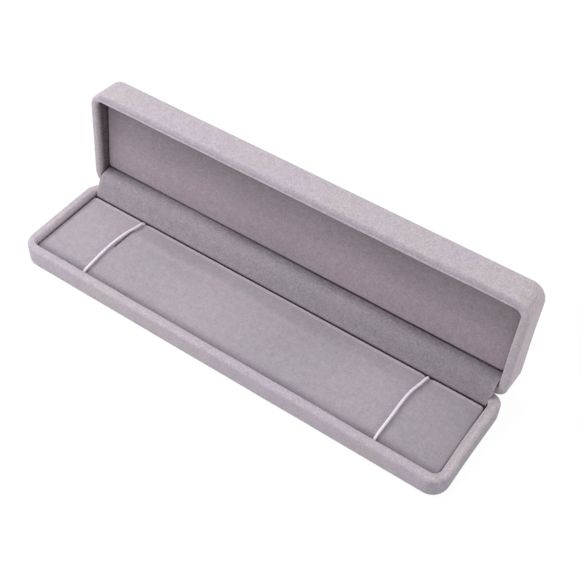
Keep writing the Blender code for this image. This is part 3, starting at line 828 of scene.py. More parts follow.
def cut(piece: bpy.types.Object, blocks: Sequence[tuple[Point, Point]]) -> None:
    """Cut blocks out of a closed piece.

    Args:
        piece: The piece.
        blocks: Lowest and highest corner of each block.
    """
    for low, high in blocks:
        bm = bmesh.new()
        size = Vector(high) - Vector(low)
        middle = (Vector(high) + Vector(low)) / 2
        matrix = Matrix.Translation(middle) @ Matrix.Diagonal((*size, 1.0))
        bmesh.ops.create_cube(bm, size=1.0, matrix=matrix)
        cutter = mesh_object("cutter", bm)
        boolean = piece.modifiers.new("cut", "BOOLEAN")
        boolean.object = cutter
        boolean.solver = "EXACT"
        bake(piece)
        bpy.data.objects.remove(cutter, do_unlink=True)


def paint(bm: bmesh.types.BMesh, name: str, shade: Callable[[Vector], float]) -> None:
    """Store a value at each vertex.

    Args:
        bm: The mesh.
        name: The attribute's name.
        shade: Gives the value at a point.
    """
    layer = bm.verts.layers.float.get(name) or bm.verts.layers.float.new(name)
    for vert in bm.verts:
        vert[layer] = shade(vert.co)


def ramp(value: float, start: float, stop: float) -> float:
    """Smooth step from 0 at the start to 1 at the stop.

    Args:
        value: Where to read it.
        start: Where it leaves 0.
        stop: Where it reaches 1.

    Returns:
        A share from 0 to 1.
    """
    share = min(max((value - start) / (stop - start), 0.0), 1.0)
    return share * share * (3.0 - 2.0 * share)


@dataclass(frozen=True)
class Drift:
    """Slow unevenness: waves per metre along and across, a seed and a slant."""

    along: float
    across: float
    seed: float
    slant: float = 0.0

    def at(self, along: float, across: float) -> float:
        """Value around 0 at a place along and across the box."""
        turned = across * self.across + along * self.slant
        return noise.noise(Vector((along * self.along, turned, self.seed)))


def arc(centre: Flat, radius: float, start: float, stop: float, steps: int) -> list[Flat]:
    """Points of an arc in a profile plane.

    Args:
        centre: Its centre.
        radius: Its radius.
        start: First angle in degrees.
        stop: Last angle in degrees.
        steps: Number of steps.

    Returns:
        The points.
    """
    angles = [radians(start + (stop - start) * k / steps) for k in range(steps + 1)]
    return [(centre[0] + radius * cos(a), centre[1] + radius * sin(a)) for a in angles]


def grow(
    bm: bmesh.types.BMesh,
    edges: list[bmesh.types.BMEdge],
    move: Callable[[bmesh.types.BMVert], Sequence[float]],
) -> list[bmesh.types.BMEdge]:
    """Extrude edges and move the new vertices, which keep the old ones' values.

    Args:
        bm: The mesh.
        edges: The edges to extrude.
        move: Gives the place of a new vertex, which lies on its old one.

    Returns:
        The new edges that lie along the old ones.
    """
    made = bmesh.ops.extrude_edge_only(bm, edges=edges)["geom"]
    fresh = {item for item in made if isinstance(item, bmesh.types.BMVert)}
    for vert in fresh:
        vert.co = move(vert)
    return [
        item
        for item in made
        if isinstance(item, bmesh.types.BMEdge) and fresh.issuperset(item.verts)
    ]


def smooth_route(points: Sequence[Sequence[float]], step: float) -> list[Vector]:
    """Points about a step apart on a Catmull-Rom curve through a route.

    Args:
        points: The route.
        step: Distance between the new points.

    Returns:
        The points of the curve.
    """
    spots = [Vector(point) for point in points]
    padded = [2 * spots[0] - spots[1], *spots, 2 * spots[-1] - spots[-2]]
    route = []
    for before, start, stop, after in zip(padded, padded[1:], padded[2:], padded[3:]):
        count = max(1, round((stop - start).length / step))
        for k in range(count):
            t = k / count
            route.append(
                start
                + (stop - before) * (t / 2)
                + (2 * before - 5 * start + 4 * stop - after) * (t * t / 2)
                + (3 * start - before - 3 * stop + after) * (t**3 / 2)
            )
    return [*route, spots[-1]]


def thicken(path: Sequence[Flat], thickness: float) -> list[Flat]:
    """Closed outline of a sheet of even thickness along an open path.

    Args:
        path: Points of the sheet's middle.
        thickness: Its thickness.

    Returns:
        The outline's points.
    """
    left, right = [], []
    for k, point in enumerate(path):
        before = path[max(k - 1, 0)]
        after = path[min(k + 1, len(path) - 1)]
        along = Vector((after[0] - before[0], after[1] - before[1])).normalized()
        normal = Vector((-along.y, along.x)) * (thickness / 2)
        left.append((point[0] + normal.x, point[1] + normal.y))
        right.append((point[0] - normal.x, point[1] - normal.y))
    return left + right[::-1]


def loft(rings: Sequence[Sequence[Vector]]) -> bmesh.types.BMesh:
    """Skin through rings of equally many points, closed at both ends.

    Args:
        rings: The rings in order.

    Returns:
        The closed mesh.
    """
    bm = bmesh.new()
    station = bm.verts.layers.int.new("station")
    verts = [bm.verts.new(point) for point in rings[0]]
    for place, vert in enumerate(verts):
        vert[station] = place
    edges = list(bm.faces.new(verts).edges)
    for ring in rings[1:]:
        edges = grow(bm, edges, lambda vert, ring=ring: ring[vert[station]])
    bmesh.ops.contextual_create(bm, geom=edges)
    bmesh.ops.recalc_face_normals(bm, faces=bm.faces)
    return bm


def strip_mesh(outline: Sequence[Flat], start: float, stop: float, cuts: int) -> bmesh.types.BMesh:
    """Draw a closed (y, z) outline out along X in even steps.

    Args:
        outline: The outline's points.
        start: X of the first end.
        stop: X of the last end.
        cuts: Number of steps along X.

    Returns:
        The closed mesh.
    """
    stations = [start + (stop - start) * k / cuts for k in range(cuts + 1)]
    return loft([[Vector((x, y, z)) for y, z in outline] for x in stations])


@dataclass(frozen=True)
class Hinge:
    """The lid's hinge axis."""

    y: float
    z: float

    def open_lid(self) -> Matrix:
        """Matrix that turns the closed lid open.

        Returns:
            The turn about the axis.
        """
        centre = Vector((0.0, self.y, self.z))
        turn = Matrix.Rotation(-OPEN_ANGLE, 4, "X")
        return Matrix.Translation(centre) @ turn @ Matrix.Translation(-centre)

    def opened(self, y: float, z: float) -> Flat:
        """Where a (y, z) point of the closed lid lies when the lid is open."""
        point = self.open_lid() @ Vector((0.0, y, z))
        return (point.y, point.z)


@dataclass(frozen=True)
class Brushing:
    """Painted light and shade across one wall of a wrap: lighter above 0, darker below."""

    face: float = 0.0
    top: float = 0.0
    crest: float = 0.0
    inner: float = 0.0

    def towards(self, other: "Brushing", share: float) -> "Brushing":
        """Blend with another wall's painted light and shade.

        Args:
            other: The other wall's.
            share: Share of the other one.

        Returns:
            The blend.
        """
        own = 1.0 - share
        return Brushing(
            self.face * own + other.face * share,
            self.top * own + other.top * share,
            self.crest * own + other.crest * share,
            self.inner * own + other.inner * share,
        )


@dataclass
class Tray:
    """Velvet wrap of a rounded tray: over the outside, the rim and the inner wall.

    It is lofted rim up, and rear is the sign of Y on which the hinge then lies. The inner wall's
    corners open from inner_corner, deep inside, to the left and right corner's radius at the rim.
    """

    half_length: float
    half_width: float
    height: float
    wall: float
    edge_radius: float
    tuck: float
    shade_start: float
    shade_stop: float
    # Painted light and shade of the long sides and of each end
    sides: Brushing
    left_end: Brushing
    right_end: Brushing
    plan_radius: float = 0.0080
    rear: int = 1
    hinge_corner: float = 0.0055
    end_swell: float = 0.0
    inner_corner: float = 0.0020
    left_corner: float = 0.0030
    right_corner: float = 0.0036
    corner_fade: float = 0.0030
    rim_outer: float = 0.0018
    rim_inner: float = 0.0013
    thickness: float = 0.0008
    corner_steps: int = 14
    rim_blend: float = 0.25
    arc_steps: int = 8
    tuck_steps: int = 4
    side_step: float = 0.0030
    waviness: float = 0.00030
    wave_size: float = 0.0260

    def section(self, offset: float) -> list[Flat]:
        """Profile of the wall, as (inset, height) points.

        Args:
            offset: How far it is shrunk inwards.

        Returns:
            Points from the bottom edge over the rim to the tuck.
        """
        edge, outer, inner = self.edge_radius, self.rim_outer, self.rim_inner
        steps = self.arc_steps
        points = arc((edge, edge), edge - offset, 270, 180, steps)
        points += arc((outer, self.height - outer), outer - offset, 180, 90, steps)
        points += arc((self.wall - inner, self.height - inner), inner - offset, 90, 0, steps)
        for k in range(1, self.tuck_steps + 1):
            drop = (self.tuck - inner) * k / self.tuck_steps
            points.append((self.wall - offset, self.height - inner - drop))
        return points

    def ring(self, inset: float, height: float) -> list[Vector]:
        """Rounded rectangle round the tray.

        Args:
            inset: Its distance inside the outer wall.
            height: Its height above the tray's floor.

        Returns:
            Its points.
        """
        points = []
        for side_x, side_y, start in ((1, -1, -90), (1, 1, 0), (-1, 1, 90), (-1, -1, 180)):
            rim_corner = self.right_corner if side_x > 0 else self.left_corner
            near_rim = 1.0 - ramp(self.height - height, self.rim_inner, self.corner_fade)
            inner = self.inner_corner + (rim_corner - self.inner_corner) * near_rim
            by_hinge = side_x > 0 and side_y == self.rear
            outer = self.hinge_corner if by_hinge else self.plan_radius
            radius = outer - (outer - inner) * inset / self.wall
            radius = max(radius, self.thickness / 2)
            centre = (
                side_x * (self.half_length - inset - radius),
                side_y * (self.half_width - inset - radius),
            )
            corner = arc(centre, radius, start, start + 90, self.corner_steps)
            points += [Vector((x, y, height)) for x, y in corner]
        return points

    def skin(self) -> bmesh.types.BMesh:
        """Loft the wrap through its rings.

        Returns:
            The closed skin, standing on its underside.
        """
        profile = self.section(0.0) + self.section(self.thickness)[::-1]
        bm = loft([self.ring(inset, height) for inset, height in profile])
        self.divide(bm)
        self.soften(bm)
        return bm

    def divide(self, bm: bmesh.types.BMesh) -> None:
        """Divide the skin's straight sides into even steps.

        Args:
            bm: The skin.
        """
        for axis, half in ((0, self.half_length), (1, self.half_width)):
            straight = [
                edge
                for edge in bm.edges
                if abs(edge.verts[0].co[axis] - edge.verts[1].co[axis]) > half
            ]
            cuts = round(2 * half / self.side_step)
            bmesh.ops.subdivide_edges(bm, edges=straight, cuts=cuts, use_grid_fill=True)

    def soften(self, bm: bmesh.types.BMesh) -> None:
        """Move the skin by slow waves, swell its right rear end, and paint shade down its inner
        wall and light and shade over its walls and rim.

        Args:
            bm: The skin.
        """
        for vert in bm.verts:
            wave = noise.noise_vector(vert.co / self.wave_size) * self.waviness
            share = ramp(vert.co.z, 0.0, self.edge_radius)
            vert.co += Vector((wave.x, wave.y, wave.z / 2)) * share
            outwards = 1.0 - (self.half_length - vert.co.x) / self.wall
            rearwards = ramp(vert.co.y, -self.half_width, self.half_width)
            vert.co.x += self.end_swell * max(outwards, 0.0) * rearwards
        # Painted shade down the inner wall; painted light and shade over the walls and the rim
        paint(bm, PAINTED_SHADE, self.inner_shade)
        paint(bm, TONE_AND_LIGHT, self.rim_lean)

    def inset(self, point: Vector) -> float:
        """Distance of a point inside the tray's outer faces."""
        return min(self.half_length - abs(point.x), self.half_width - abs(point.y))

    def below_tuck(self, point: Vector) -> bool:
        """Whether a point lies deeper than the wrap goes down inside, so on the outside."""
        return self.height - point.z > self.tuck + CLEARANCE

    def inner_shade(self, point: Vector) -> float:
        """How much shade is painted down the inner wall.

        Args:
            point: A point of the skin.

        Returns:
            A share from 0 to 1.
        """
        if self.below_tuck(point) or self.inset(point) < self.wall - self.rim_inner:
            return 0.0
        return ramp(self.height - point.z, self.shade_start, self.shade_stop)

    def rim_lean(self, point: Vector) -> float:
        """Painted light and shade on the outer faces, over the rim and down the inner wall.

        Args:
            point: A point of the skin.

        Returns:
            A value around 0.
        """
        end = self.left_end if point.x < 0.0 else self.right_end
        from_end = self.half_length - abs(point.x)
        tone_and_light = end.towards(self.sides, ramp(from_end, self.wall, self.plan_radius))
        if self.below_tuck(point):
            return tone_and_light.face
        inset = self.inset(point)
        depth = self.height - point.z
        edge = self.wall - self.rim_inner
        if inset > edge + self.rim_blend * self.rim_inner:
            return tone_and_light.crest + (tone_and_light.inner - tone_and_light.crest) * ramp(depth, 0.0, self.rim_inner)
        if inset > self.rim_outer:
            return tone_and_light.top + (tone_and_light.crest - tone_and_light.top) * ramp(inset, self.rim_outer, edge)
        over = ramp(depth, self.rim_blend * self.rim_outer, self.rim_outer)
        return tone_and_light.top + (tone_and_light.face - tone_and_light.top) * over


@dataclass
class Wraps:
    """The velvet wraps of the base and the lid, with the shells inside them."""

    shop: Workshop
    hinge: Hinge
    lid_height: float = 0.0175
    knuckle: float = 0.00095
    window_room: float = 0.0004

    def trays(self) -> tuple[Tray, Tray]:
        """Sizes of both trays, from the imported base.

        Returns:
            The base's and the lid's tray.
        """
        _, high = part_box("base_wrap")
        base = Tray(
            half_length=high.x,
            half_width=high.y,
            height=high.z,
            wall=0.0044,
            edge_radius=0.0023,
            tuck=0.0070,
            shade_start=0.0020,
            shade_stop=0.0056,
            end_swell=0.0005,
            # Painted light and shade of the base's walls
            sides=Brushing(face=-0.2, crest=0.1),
            left_end=Brushing(face=-0.3, crest=0.4, inner=2.9),
            right_end=Brushing(face=-1.2, top=0.6, crest=-0.3),
        )
        lid = Tray(
            half_length=high.x,
            half_width=high.y,
            height=self.lid_height,
            wall=LID_WALL,
            edge_radius=0.0028,
            tuck=0.0085,
            shade_start=0.0003,
            shade_stop=0.0034,
            rear=-1,
            hinge_corner=0.0046,
            # Painted light and shade of the lid's walls
            sides=Brushing(face=0.1, top=-1.1, crest=1.0),
            left_end=Brushing(face=0.1, top=-0.3, crest=-0.3, inner=1.0),
            right_end=Brushing(face=0.6),
        )
        return base, lid

    def windows(self, tray: Tray, leaf: str, up: int) -> list[tuple[Point, Point]]:
        """Blocks that open a wrap over the rim and down its inner wall at a hinge leaf.

        Args:
            tray: The wrap's tray.
            leaf: Name of the leaf's node.
            up: Where the tray lies from the axis, 1 above and -1 below.

        Returns:
            Two blocks.
        """
        low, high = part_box(leaf)
        left, right = low.x - self.window_room, high.x + self.window_room
        face = tray.half_width - tray.wall + tray.thickness + CLEARANCE / 2
        front = face - tray.wall
        near = self.hinge.z - up * self.knuckle
        rim = self.hinge.z + up * (self.knuckle + self.window_room / 2)
        foot = self.hinge.z + up * (tray.tuck + self.window_room)
        back = tray.half_width + self.window_room
        return [
            ((left, front, min(near, rim)), (right, back, max(near, rim))),
            ((left, front, min(near, foot)), (right, face, max(near, foot))),
        ]

    def build(self) -> None:
        """Make both wraps and dress the shells."""
        base, lid = self.trays()
        top = base.height + RIM_GAP + lid.height
        turn_over = Matrix.Translation((0.0, 0.0, top)) @ Matrix.Rotation(pi, 4, "X")
        for body, tray, up, shut, opened in (
            (Body.BASE, base, -1, Matrix(), Matrix()),
            (Body.LID, lid, 1, turn_over, self.hinge.open_lid()),
        ):
            word = body.value
            skin = tray.skin()
            bmesh.ops.transform(skin, matrix=shut, verts=skin.verts)
            piece = self.shop.piece(f"{word}_velvet", skin, self.shop.finishes.outside)
            for side in Side:
                cut(piece, self.windows(tray, f"hinge_{word}_leaf_{side.word}", up))
            piece.data.transform(opened)
            self.shop.seat(piece, body, f"{word}_wrap")
        self.shop.keep(self.shop.finishes.moulded, ("base_shell", "lid_shell"))


@dataclass
class Cushion:
    """Velvet cover, foam and card board of a padded panel, face up about its own middle."""

    name: str
    body: Body
    fill: float
    half_x: float
    half_y: float
    height: float
    crown: float
    corner: float
    cover: float = 0.0006
    board: float = 0.0012
    edge_radius: float = 0.0010
    foot_radius: float = 0.0008
    hem: float = 0.0060
    step: float = 0.0015
    arc_steps: int = 4
    draw: float = 0.0011
    draw_spread: float = 0.0011
    draw_fade: float = 0.0050
    # Shade painted down the sides, where the panel meets its neighbours
    seam_start: float = 0.0010
    seam_stop: float = 0.0018
    # Highlight painted along the rear edge
    open_start: float = 0.0005
    open_stop: float = 0.0016
    board_corner_steps: int = 6
    board_edge_steps: int = 2
    held: tuple[Flat, ...] = ()

    def face(self, offset: float) -> bmesh.types.BMesh:
        """Crowned face as a grid, up to where its edge starts to turn down.

        Args:
            offset: How far the layer lies under the cover's face.

        Returns:
            The open face.
        """
        edge = self.edge_radius
        half_x, half_y = self.half_x - edge, self.half_y - edge
        bm = bmesh.new()
        bmesh.ops.create_grid(
            bm,
            x_segments=round(2 * half_x / self.step),
            y_segments=round(2 * half_y / self.step),
            size=1.0,
            matrix=Matrix.Diagonal((half_x, half_y, 1.0, 1.0)),
        )
        end = bm.verts.layers.int.new("end")
        side = bm.verts.layers.int.new("side")
        for vert in bm.verts:
            x, y = vert.co.x, vert.co.y
            vert[end] = round(x / half_x) if half_x - abs(x) < self.step / 2 else 0
            vert[side] = round(y / half_y) if half_y - abs(y) < self.step / 2 else 0
            across = min((half_y - abs(y)) / half_y, 1.0)
            along = min((half_x - abs(x)) / half_y, 1.0)
            rise = (1.0 - (1.0 - across) ** 2) * (1.0 - (1.0 - along) ** 2)
            vert.co.z = self.height - offset + self.crown * rise
        return bm

    def layer(self, offset: float, bottom: float, hem: float) -> bmesh.types.BMesh:
        """A face with its rounded edge, side and the fold under it.

        Args:
            offset: How far the layer lies inside the cover's outside.
            bottom: Height of its underside.
            hem: Width of the fold under it, or 0 for a closed underside.

        Returns:
            The layer, open behind its hem or closed.
        """
        bm = self.face(offset)
        end = bm.verts.layers.int["end"]
        side = bm.verts.layers.int["side"]
        edges = [edge for edge in bm.edges if edge.is_boundary]
        reach = self.edge_radius - offset
        foot = self.foot_radius if hem else self.foot_radius / 2
        top = self.height - offset
        profile = arc((0.0, top - reach), reach, 90, 0, self.arc_steps)[1:]
        profile += arc((reach - foot, bottom + foot), foot, 0, -90, self.arc_steps)
        if hem:
            profile.append((-hem, bottom))
        done = 0.0
        for out, height in profile:
            step = out - done
            edges = grow(
                bm,
                edges,
                lambda vert: (
                    vert.co.x + vert[end] * step,
                    vert.co.y + vert[side] * step,
                    height,
                ),
            )
            done = out
        if not hem:
            bmesh.ops.contextual_create(bm, geom=edges)
        self.shape_plan(bm)
        bmesh.ops.recalc_face_normals(bm, faces=bm.faces)
        return bm

    def pressed(self, point: Vector) -> float:
        """How much shade is painted down the cushion's sides."""
        return ramp(self.height - point.z, self.seam_start, self.seam_stop)

    def inset(self, point: Vector) -> float:
        """Distance of a point inside the panel's sides."""
        return min(self.half_x - abs(point.x), self.half_y - abs(point.y))

    def open_edge(self, point: Vector) -> float:
        """How much highlight is painted along the rear edge."""
        return 1.0 - ramp(self.half_y - point.y, self.open_start, self.open_stop)

    def drawn_tight(self, point: Vector) -> bool:
        """Whether the cover lies tight over the board's edge, below it or on the hem."""
        return self.inset(point) < self.edge_radius + CLEARANCE or point.z < self.height / 2

    def shape_plan(self, bm: bmesh.types.BMesh) -> None:
        """Round the panel's corners in plan and draw its sides in at the cords.

        Args:
            bm: The layer.
        """
        inner = self.half_x - self.corner, self.half_y - self.corner
        for vert in bm.verts:
            x, y = vert.co.x, vert.co.y
            a = (abs(x) - inner[0]) / self.corner
            b = (abs(y) - inner[1]) / self.corner
            if a > 0.0 and b > 0.0:
                vert.co.x = (inner[0] + a * self.corner * (1 - b * b / 2) ** 0.5) * (x / abs(x))
                vert.co.y = (inner[1] + b * self.corner * (1 - a * a / 2) ** 0.5) * (y / abs(y))
            side = 1 if y > 0 else -1
            vert.co.y -= side * self.drawn(x, y)

    def drawn(self, x: float, y: float) -> float:
        """How far the cords draw in a long side.

        Args:
            x: Place along the panel.
            y: Place across it.

        Returns:
            The distance.
        """
        fade = max(0.0, 1.0 - (self.half_y - abs(y)) / self.draw_fade)
        total = 0.0
        for front_x, rear_x in self.held:
            centre = rear_x if y > 0 else front_x
            total += exp(-(((x - centre) / self.draw_spread) ** 2))
        return self.draw * total * fade

    def cover_mesh(self) -> bmesh.types.BMesh:
        """The cover's outside with its hem."""
        return self.layer(0.0, 0.0, self.hem)

    def foam_mesh(self) -> bmesh.types.BMesh:
        """The foam slab under the cover."""
        offset = self.cover + CLEARANCE
        return self.layer(offset, offset + self.board + CLEARANCE, 0.0)

    def board_mesh(self) -> bmesh.types.BMesh:
        """The card board, with rounded corners and softened edges.

        Returns:
            The closed mesh.
        """
        offset = self.cover + CLEARANCE
        size = (2 * (self.half_x - offset), 2 * (self.half_y - offset), self.board)
        lift = Matrix.Translation((0.0, 0.0, offset + self.board / 2))
        bm = bmesh.new()
        bmesh.ops.create_cube(bm, size=1.0, matrix=lift @ Matrix.Diagonal((*size, 1.0)))
        for upright, width, segments in (
            (True, self.corner - offset, self.board_corner_steps),
            (False, CLEARANCE / 2, self.board_edge_steps),
        ):
            edges = [
                edge
                for edge in bm.edges
                if upright == (abs(edge.verts[0].co.z - edge.verts[1].co.z) > CLEARANCE)
            ]
            bmesh.ops.bevel(
                bm,
                geom=edges,
                offset=width,
                affect="EDGES",
                segments=segments,
                profile=0.5,
                material=-1,
            )
        return bm

    def build(
        self,
        shop: Workshop,
        cover: bmesh.types.BMesh,
        finish: Finish,
        place: Matrix,
        slits: Sequence[tuple[Point, Point]] = (),
    ) -> None:
        """Put the cover, the foam and the board in place.

        Args:
            shop: The workshop.
            cover: The cover's outside, swollen and painted.
            finish: The cover's finish.
            place: Where the panel lies in the box.
            slits: Blocks that are cut out of the cover and the foam.
        """
        for layer, bm, look in (
            ("cover", cover, finish),
            ("foam", self.foam_mesh(), shop.finishes.foam),
            ("board", self.board_mesh(), shop.finishes.card),
        ):
            bmesh.ops.transform(bm, matrix=place, verts=bm.verts)
            piece = shop.piece(f"{self.name}_{layer}_soft", bm, look)
            if layer == "cover":
                thick_cover(piece, self.cover)
            if layer != "board":
                cut(piece, slits)
            shop.seat(piece, self.body, f"{self.name}_{layer}")


@dataclass(frozen=True)
class Swelling:
    """How a cover swells over its foam in the cloth simulation."""

    pressure: float = 4.0
    farthest: float = 0.0003
    stiffness: float = 0.05
    frames: int = 20


def puff(bm: bmesh.types.BMesh, glued: Callable[[Vector], bool], swelling: Swelling) -> None:
    """Swell a cover by cloth simulation over its foam.

    Args:
        bm: The cover's outside, which is changed.
        glued: Whether a point is held by glue or a cord.
        swelling: Pressure, stiffness, frames and the farthest that a point may move.
    """
    scene = bpy.context.scene
    mesh = bpy.data.meshes.new("swelling")
    bm.to_mesh(mesh)
    piece = link_object("swelling", mesh)
    pins = piece.vertex_groups.new(name="glued")
    pins.add([vert.index for vert in mesh.vertices if glued(vert.co)], 1.0, "REPLACE")
    cloth = piece.modifiers.new("cloth", "CLOTH")
    cloth.settings.use_pressure = True
    cloth.settings.uniform_pressure_force = swelling.pressure
    cloth.settings.effector_weights.gravity = 0.0
    cloth.settings.bending_stiffness = swelling.stiffness
    cloth.settings.vertex_group_mass = pins.name
    cloth.point_cache.frame_start = 1
    cloth.point_cache.frame_end = swelling.frames
    for frame in range(1, swelling.frames + 1):
        scene.frame_set(frame)
    swollen = piece.evaluated_get(bpy.context.evaluated_depsgraph_get()).data
    for vert, moved in zip(bm.verts, swollen.vertices):
        shift = moved.co - vert.co
        vert.co += shift * (swelling.farthest / max(shift.length, swelling.farthest))
    scene.frame_set(1)
    bpy.data.objects.remove(piece, do_unlink=True)
    bpy.data.meshes.remove(mesh)


def thick_cover(piece: bpy.types.Object, thickness: float) -> None:
    """Subdivide a cover's outside and give it its thickness.

    Args:
        piece: The cover.
        thickness: Its thickness, inwards.
    """
    subdivision = piece.modifiers.new("finer", "SUBSURF")
    subdivision.levels = 1
    subdivision.render_levels = 1
    solidify = piece.modifiers.new("thick", "SOLIDIFY")
    solidify.thickness = thickness
    solidify.offset = -1.0
    bake(piece)


@dataclass
class Cord:
    """Elastic cord round the pad, laid up from twisted strands."""

    side: Side
    route: tuple[Point, ...]
    slit: float
    radius: float = 0.00065
    sides: int = 18
    ring_step: float = 0.00022
    strands: int = 3
    lay: float = 0.0022
    ridge_share: float = 0.04

    def line(self) -> list[Vector]:
        """Smooth centreline in box coordinates."""
        shift = Vector((self.side.value * self.slit, 0.0, 0.0))
        return smooth_route([Vector(point) + shift for point in self.route], self.ring_step)

    def edge_places(self) -> Flat:
        """Where the cord passes the pad's front and rear edges."""
        line = self.line()
        return min(line, key=lambda p: p.y).x, max(line, key=lambda p: p.y).x

    def mesh(self) -> bmesh.types.BMesh:
        """Tube along the centreline, ridged by its strands.

        Returns:
            The closed tube.
        """
        line = self.line()
        up = Vector((1.0, 0.0, 0.0))
        run = 0.0
        rings = []
        for k, centre in enumerate(line):
            along = (line[min(k + 1, len(line) - 1)] - line[max(k - 1, 0)]).normalized()
            up = (up - along * up.dot(along)).normalized()
            run += (centre - line[max(k - 1, 0)]).length
            rings.append(self.ring(centre, up, along.cross(up), run))
        return loft(rings)

    def ring(self, centre: Vector, up: Vector, across: Vector, run: float) -> list[Vector]:
        """Cross section of the tube, with a ridge for each strand.

        Args:
            centre: Its centre.
            up: Direction of its first point.
            across: Direction a quarter turn on.
            run: Length of cord before it.

        Returns:
            Its points.
        """
        points = []
        for k in range(self.sides):
            angle = 2 * pi * k / self.sides
            wave = cos(self.strands * angle + 2 * pi * run / self.lay)
            radius = self.radius * (1.0 - self.ridge_share * (1.0 - wave) / 2)
            points.append(centre + (up * cos(angle) + across * sin(angle)) * radius)
        return points


@dataclass(frozen=True)
class Slit:
    """A slit in the pad: the stretch that gapes, and how far it lies from the slit's line."""

    side: Side
    shift: float
    front: float
    rear: float
    width: float


@dataclass
class Pad:
    """Lift-out pad with its two slits and elastic cords."""

    shop: Workshop
    crown: float = 0.0005
    corner: float = 0.0010
    slit_end_room: float = 0.0303
    slit_depth: float = 0.0018
    slits: tuple[Slit, ...] = (
        Slit(Side.LEFT, 0.00090, -0.0012, 0.0135, 0.0009),
        Slit(Side.RIGHT, 0.00020, -0.0120, 0.0040, 0.0004),
    )
    press: float = 0.0003
    press_spread: float = 0.0022
    crease_spread: float = 0.0088
    crease: float = 0.00022
    crease_drift: Drift = Drift(160.0, 45.0, 1.0, slant=60.0)
    wave_share: float = 0.45
    wave_drift: Drift = Drift(30.0, 40.0, 4.0)
    # Painted light: the left panel lighter and the right darker, as light falls from the left
    panel_nap: tuple[float, float, float] = (0.3, 0.0, -0.3)
    nap_share: float = 0.35
    nap_drift: Drift = Drift(22.0, 30.0, 9.0)
    # Painted highlight along the rear edge
    edge_nap: float = 3.0
    # Painted shadow of the lid over the rear stretch, with a painted highlight along its wavy edge
    # towards the left
    brushed_from: float = 0.0095
    brushed_wave: float = 0.0016
    brushed_drift: Drift = Drift(26.0, 0.0, 12.0)
    brushed_nap: float = -0.35
    brushed_outside: float = 0.1
    crest_nap: float = 0.5
    crest_fade: float = 0.04
    front_shade: float = 0.50
    front_reach: float = 0.0053
    front_share: float = 0.5
    front_drift: Drift = Drift(45.0, 0.0, 15.0)
    end_shade: float = 0.35
    end_reach: float = 0.0024
    skirt: float = 0.0007
    swelling: Swelling = Swelling()
    fill: float = 0.9

    def __post_init__(self) -> None:
        """Take the pad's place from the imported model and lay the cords."""
        self.low, self.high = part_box("pad_cover")
        self.half = (self.high - self.low) / 2
        self.middle = Vector((0.0, self.low.y + self.half.y, self.low.z))
        self.slit = self.high.x - self.slit_end_room
        self.cords = (
            Cord(Side.LEFT, LEFT_CORD_ROUTE, self.slit),
            Cord(Side.RIGHT, RIGHT_CORD_ROUTE, self.slit),
        )
        self.runs = [[p for p in cord.line() if p.z > self.high.z] for cord in self.cords]

    def from_cord(self, x: float, y: float) -> float:
        """Distance along X from a place on the pad to the nearest cord above it."""
        nearest = [min(run, key=lambda p: abs(p.y - y)) for run in self.runs]
        return min(abs(x - point.x) for point in nearest)

    def settle(self, bm: bmesh.types.BMesh) -> None:
        """Press the face down under the cords and lay soft creases beside them.

        Args:
            bm: The cover's outside about the pad's own middle.
        """
        top = self.high.z - self.low.z - 2 * self.crown
        for vert in bm.verts:
            if vert.co.z < top / 2:
                continue
            x, y = vert.co.x, vert.co.y + self.middle.y
            away = self.from_cord(x, y)
            vert.co.z -= self.press * exp(-((away / self.press_spread) ** 2))
            near = exp(-((away / self.crease_spread) ** 2))
            wave = self.wave_share * self.wave_drift.at(x, y)
            vert.co.z += self.crease * (near * self.crease_drift.at(x, y) + wave)

    def nap(self, point: Vector) -> float:
        """Tone and painted light: each panel between the cords gets its own painted light, with
        random tone and the lid's painted shadow.

        Args:
            point: A point of the cover.

        Returns:
            The value, 0 for the mean tone.
        """
        left, middle, right = self.panel_nap
        blur = self.press_spread
        past_left = ramp(point.x, -self.slit - blur, -self.slit + blur)
        past_right = ramp(point.x, self.slit - blur, self.slit + blur)
        tone = left + (middle - left) * past_left + (right - middle) * past_right
        drift = self.nap_share * self.nap_drift.at(point.x, point.y)
        return tone + drift + self.brushed_back(point)

    def brushed_back(self, point: Vector) -> float:
        """Painted shadow of the lid over the rear stretch, from a wavy crest on, with a painted
        highlight along the crest.

        Args:
            point: A point of the cover.

        Returns:
            What it adds to the painted tone.
        """
        wave = self.brushed_drift.at(point.x, 0.0) * self.brushed_wave
        past = point.y + self.middle.y - self.brushed_from - wave
        leftwards = ramp(-point.x, -self.crest_fade, self.crest_fade)
        crest = exp(-((past / self.brushed_wave) ** 2)) * leftwards
        behind = ramp(past, 0.0, 2 * self.brushed_wave)
        between = ramp(self.slit - abs(point.x), 0.0, self.press_spread)
        share = self.brushed_outside + (1.0 - self.brushed_outside) * between
        return (self.crest_nap * crest + self.brushed_nap * behind) * share

    def rim_shade(self, point: Vector) -> float:
        """Soft shade along the front edge and the left end, where the pile meets the rim.

        Args:
            point: A point of the cover about the pad's middle.

        Returns:
            A share from 0 to 1.
        """
        front = 1.0 - ramp(point.y + self.half.y, 0.0, self.front_reach)
        uneven = 1.0 + self.front_share * self.front_drift.at(point.x, 0.0)
        end = 1.0 - ramp(self.half.x + point.x, 0.0, self.end_reach)
        return max(self.front_shade * uneven * front, self.end_shade * end)

    def under_cord(self, point: Vector) -> bool:
        """Whether a cord holds down a point of the cover."""
        return self.from_cord(point.x, point.y + self.middle.y) < self.press_spread / 2

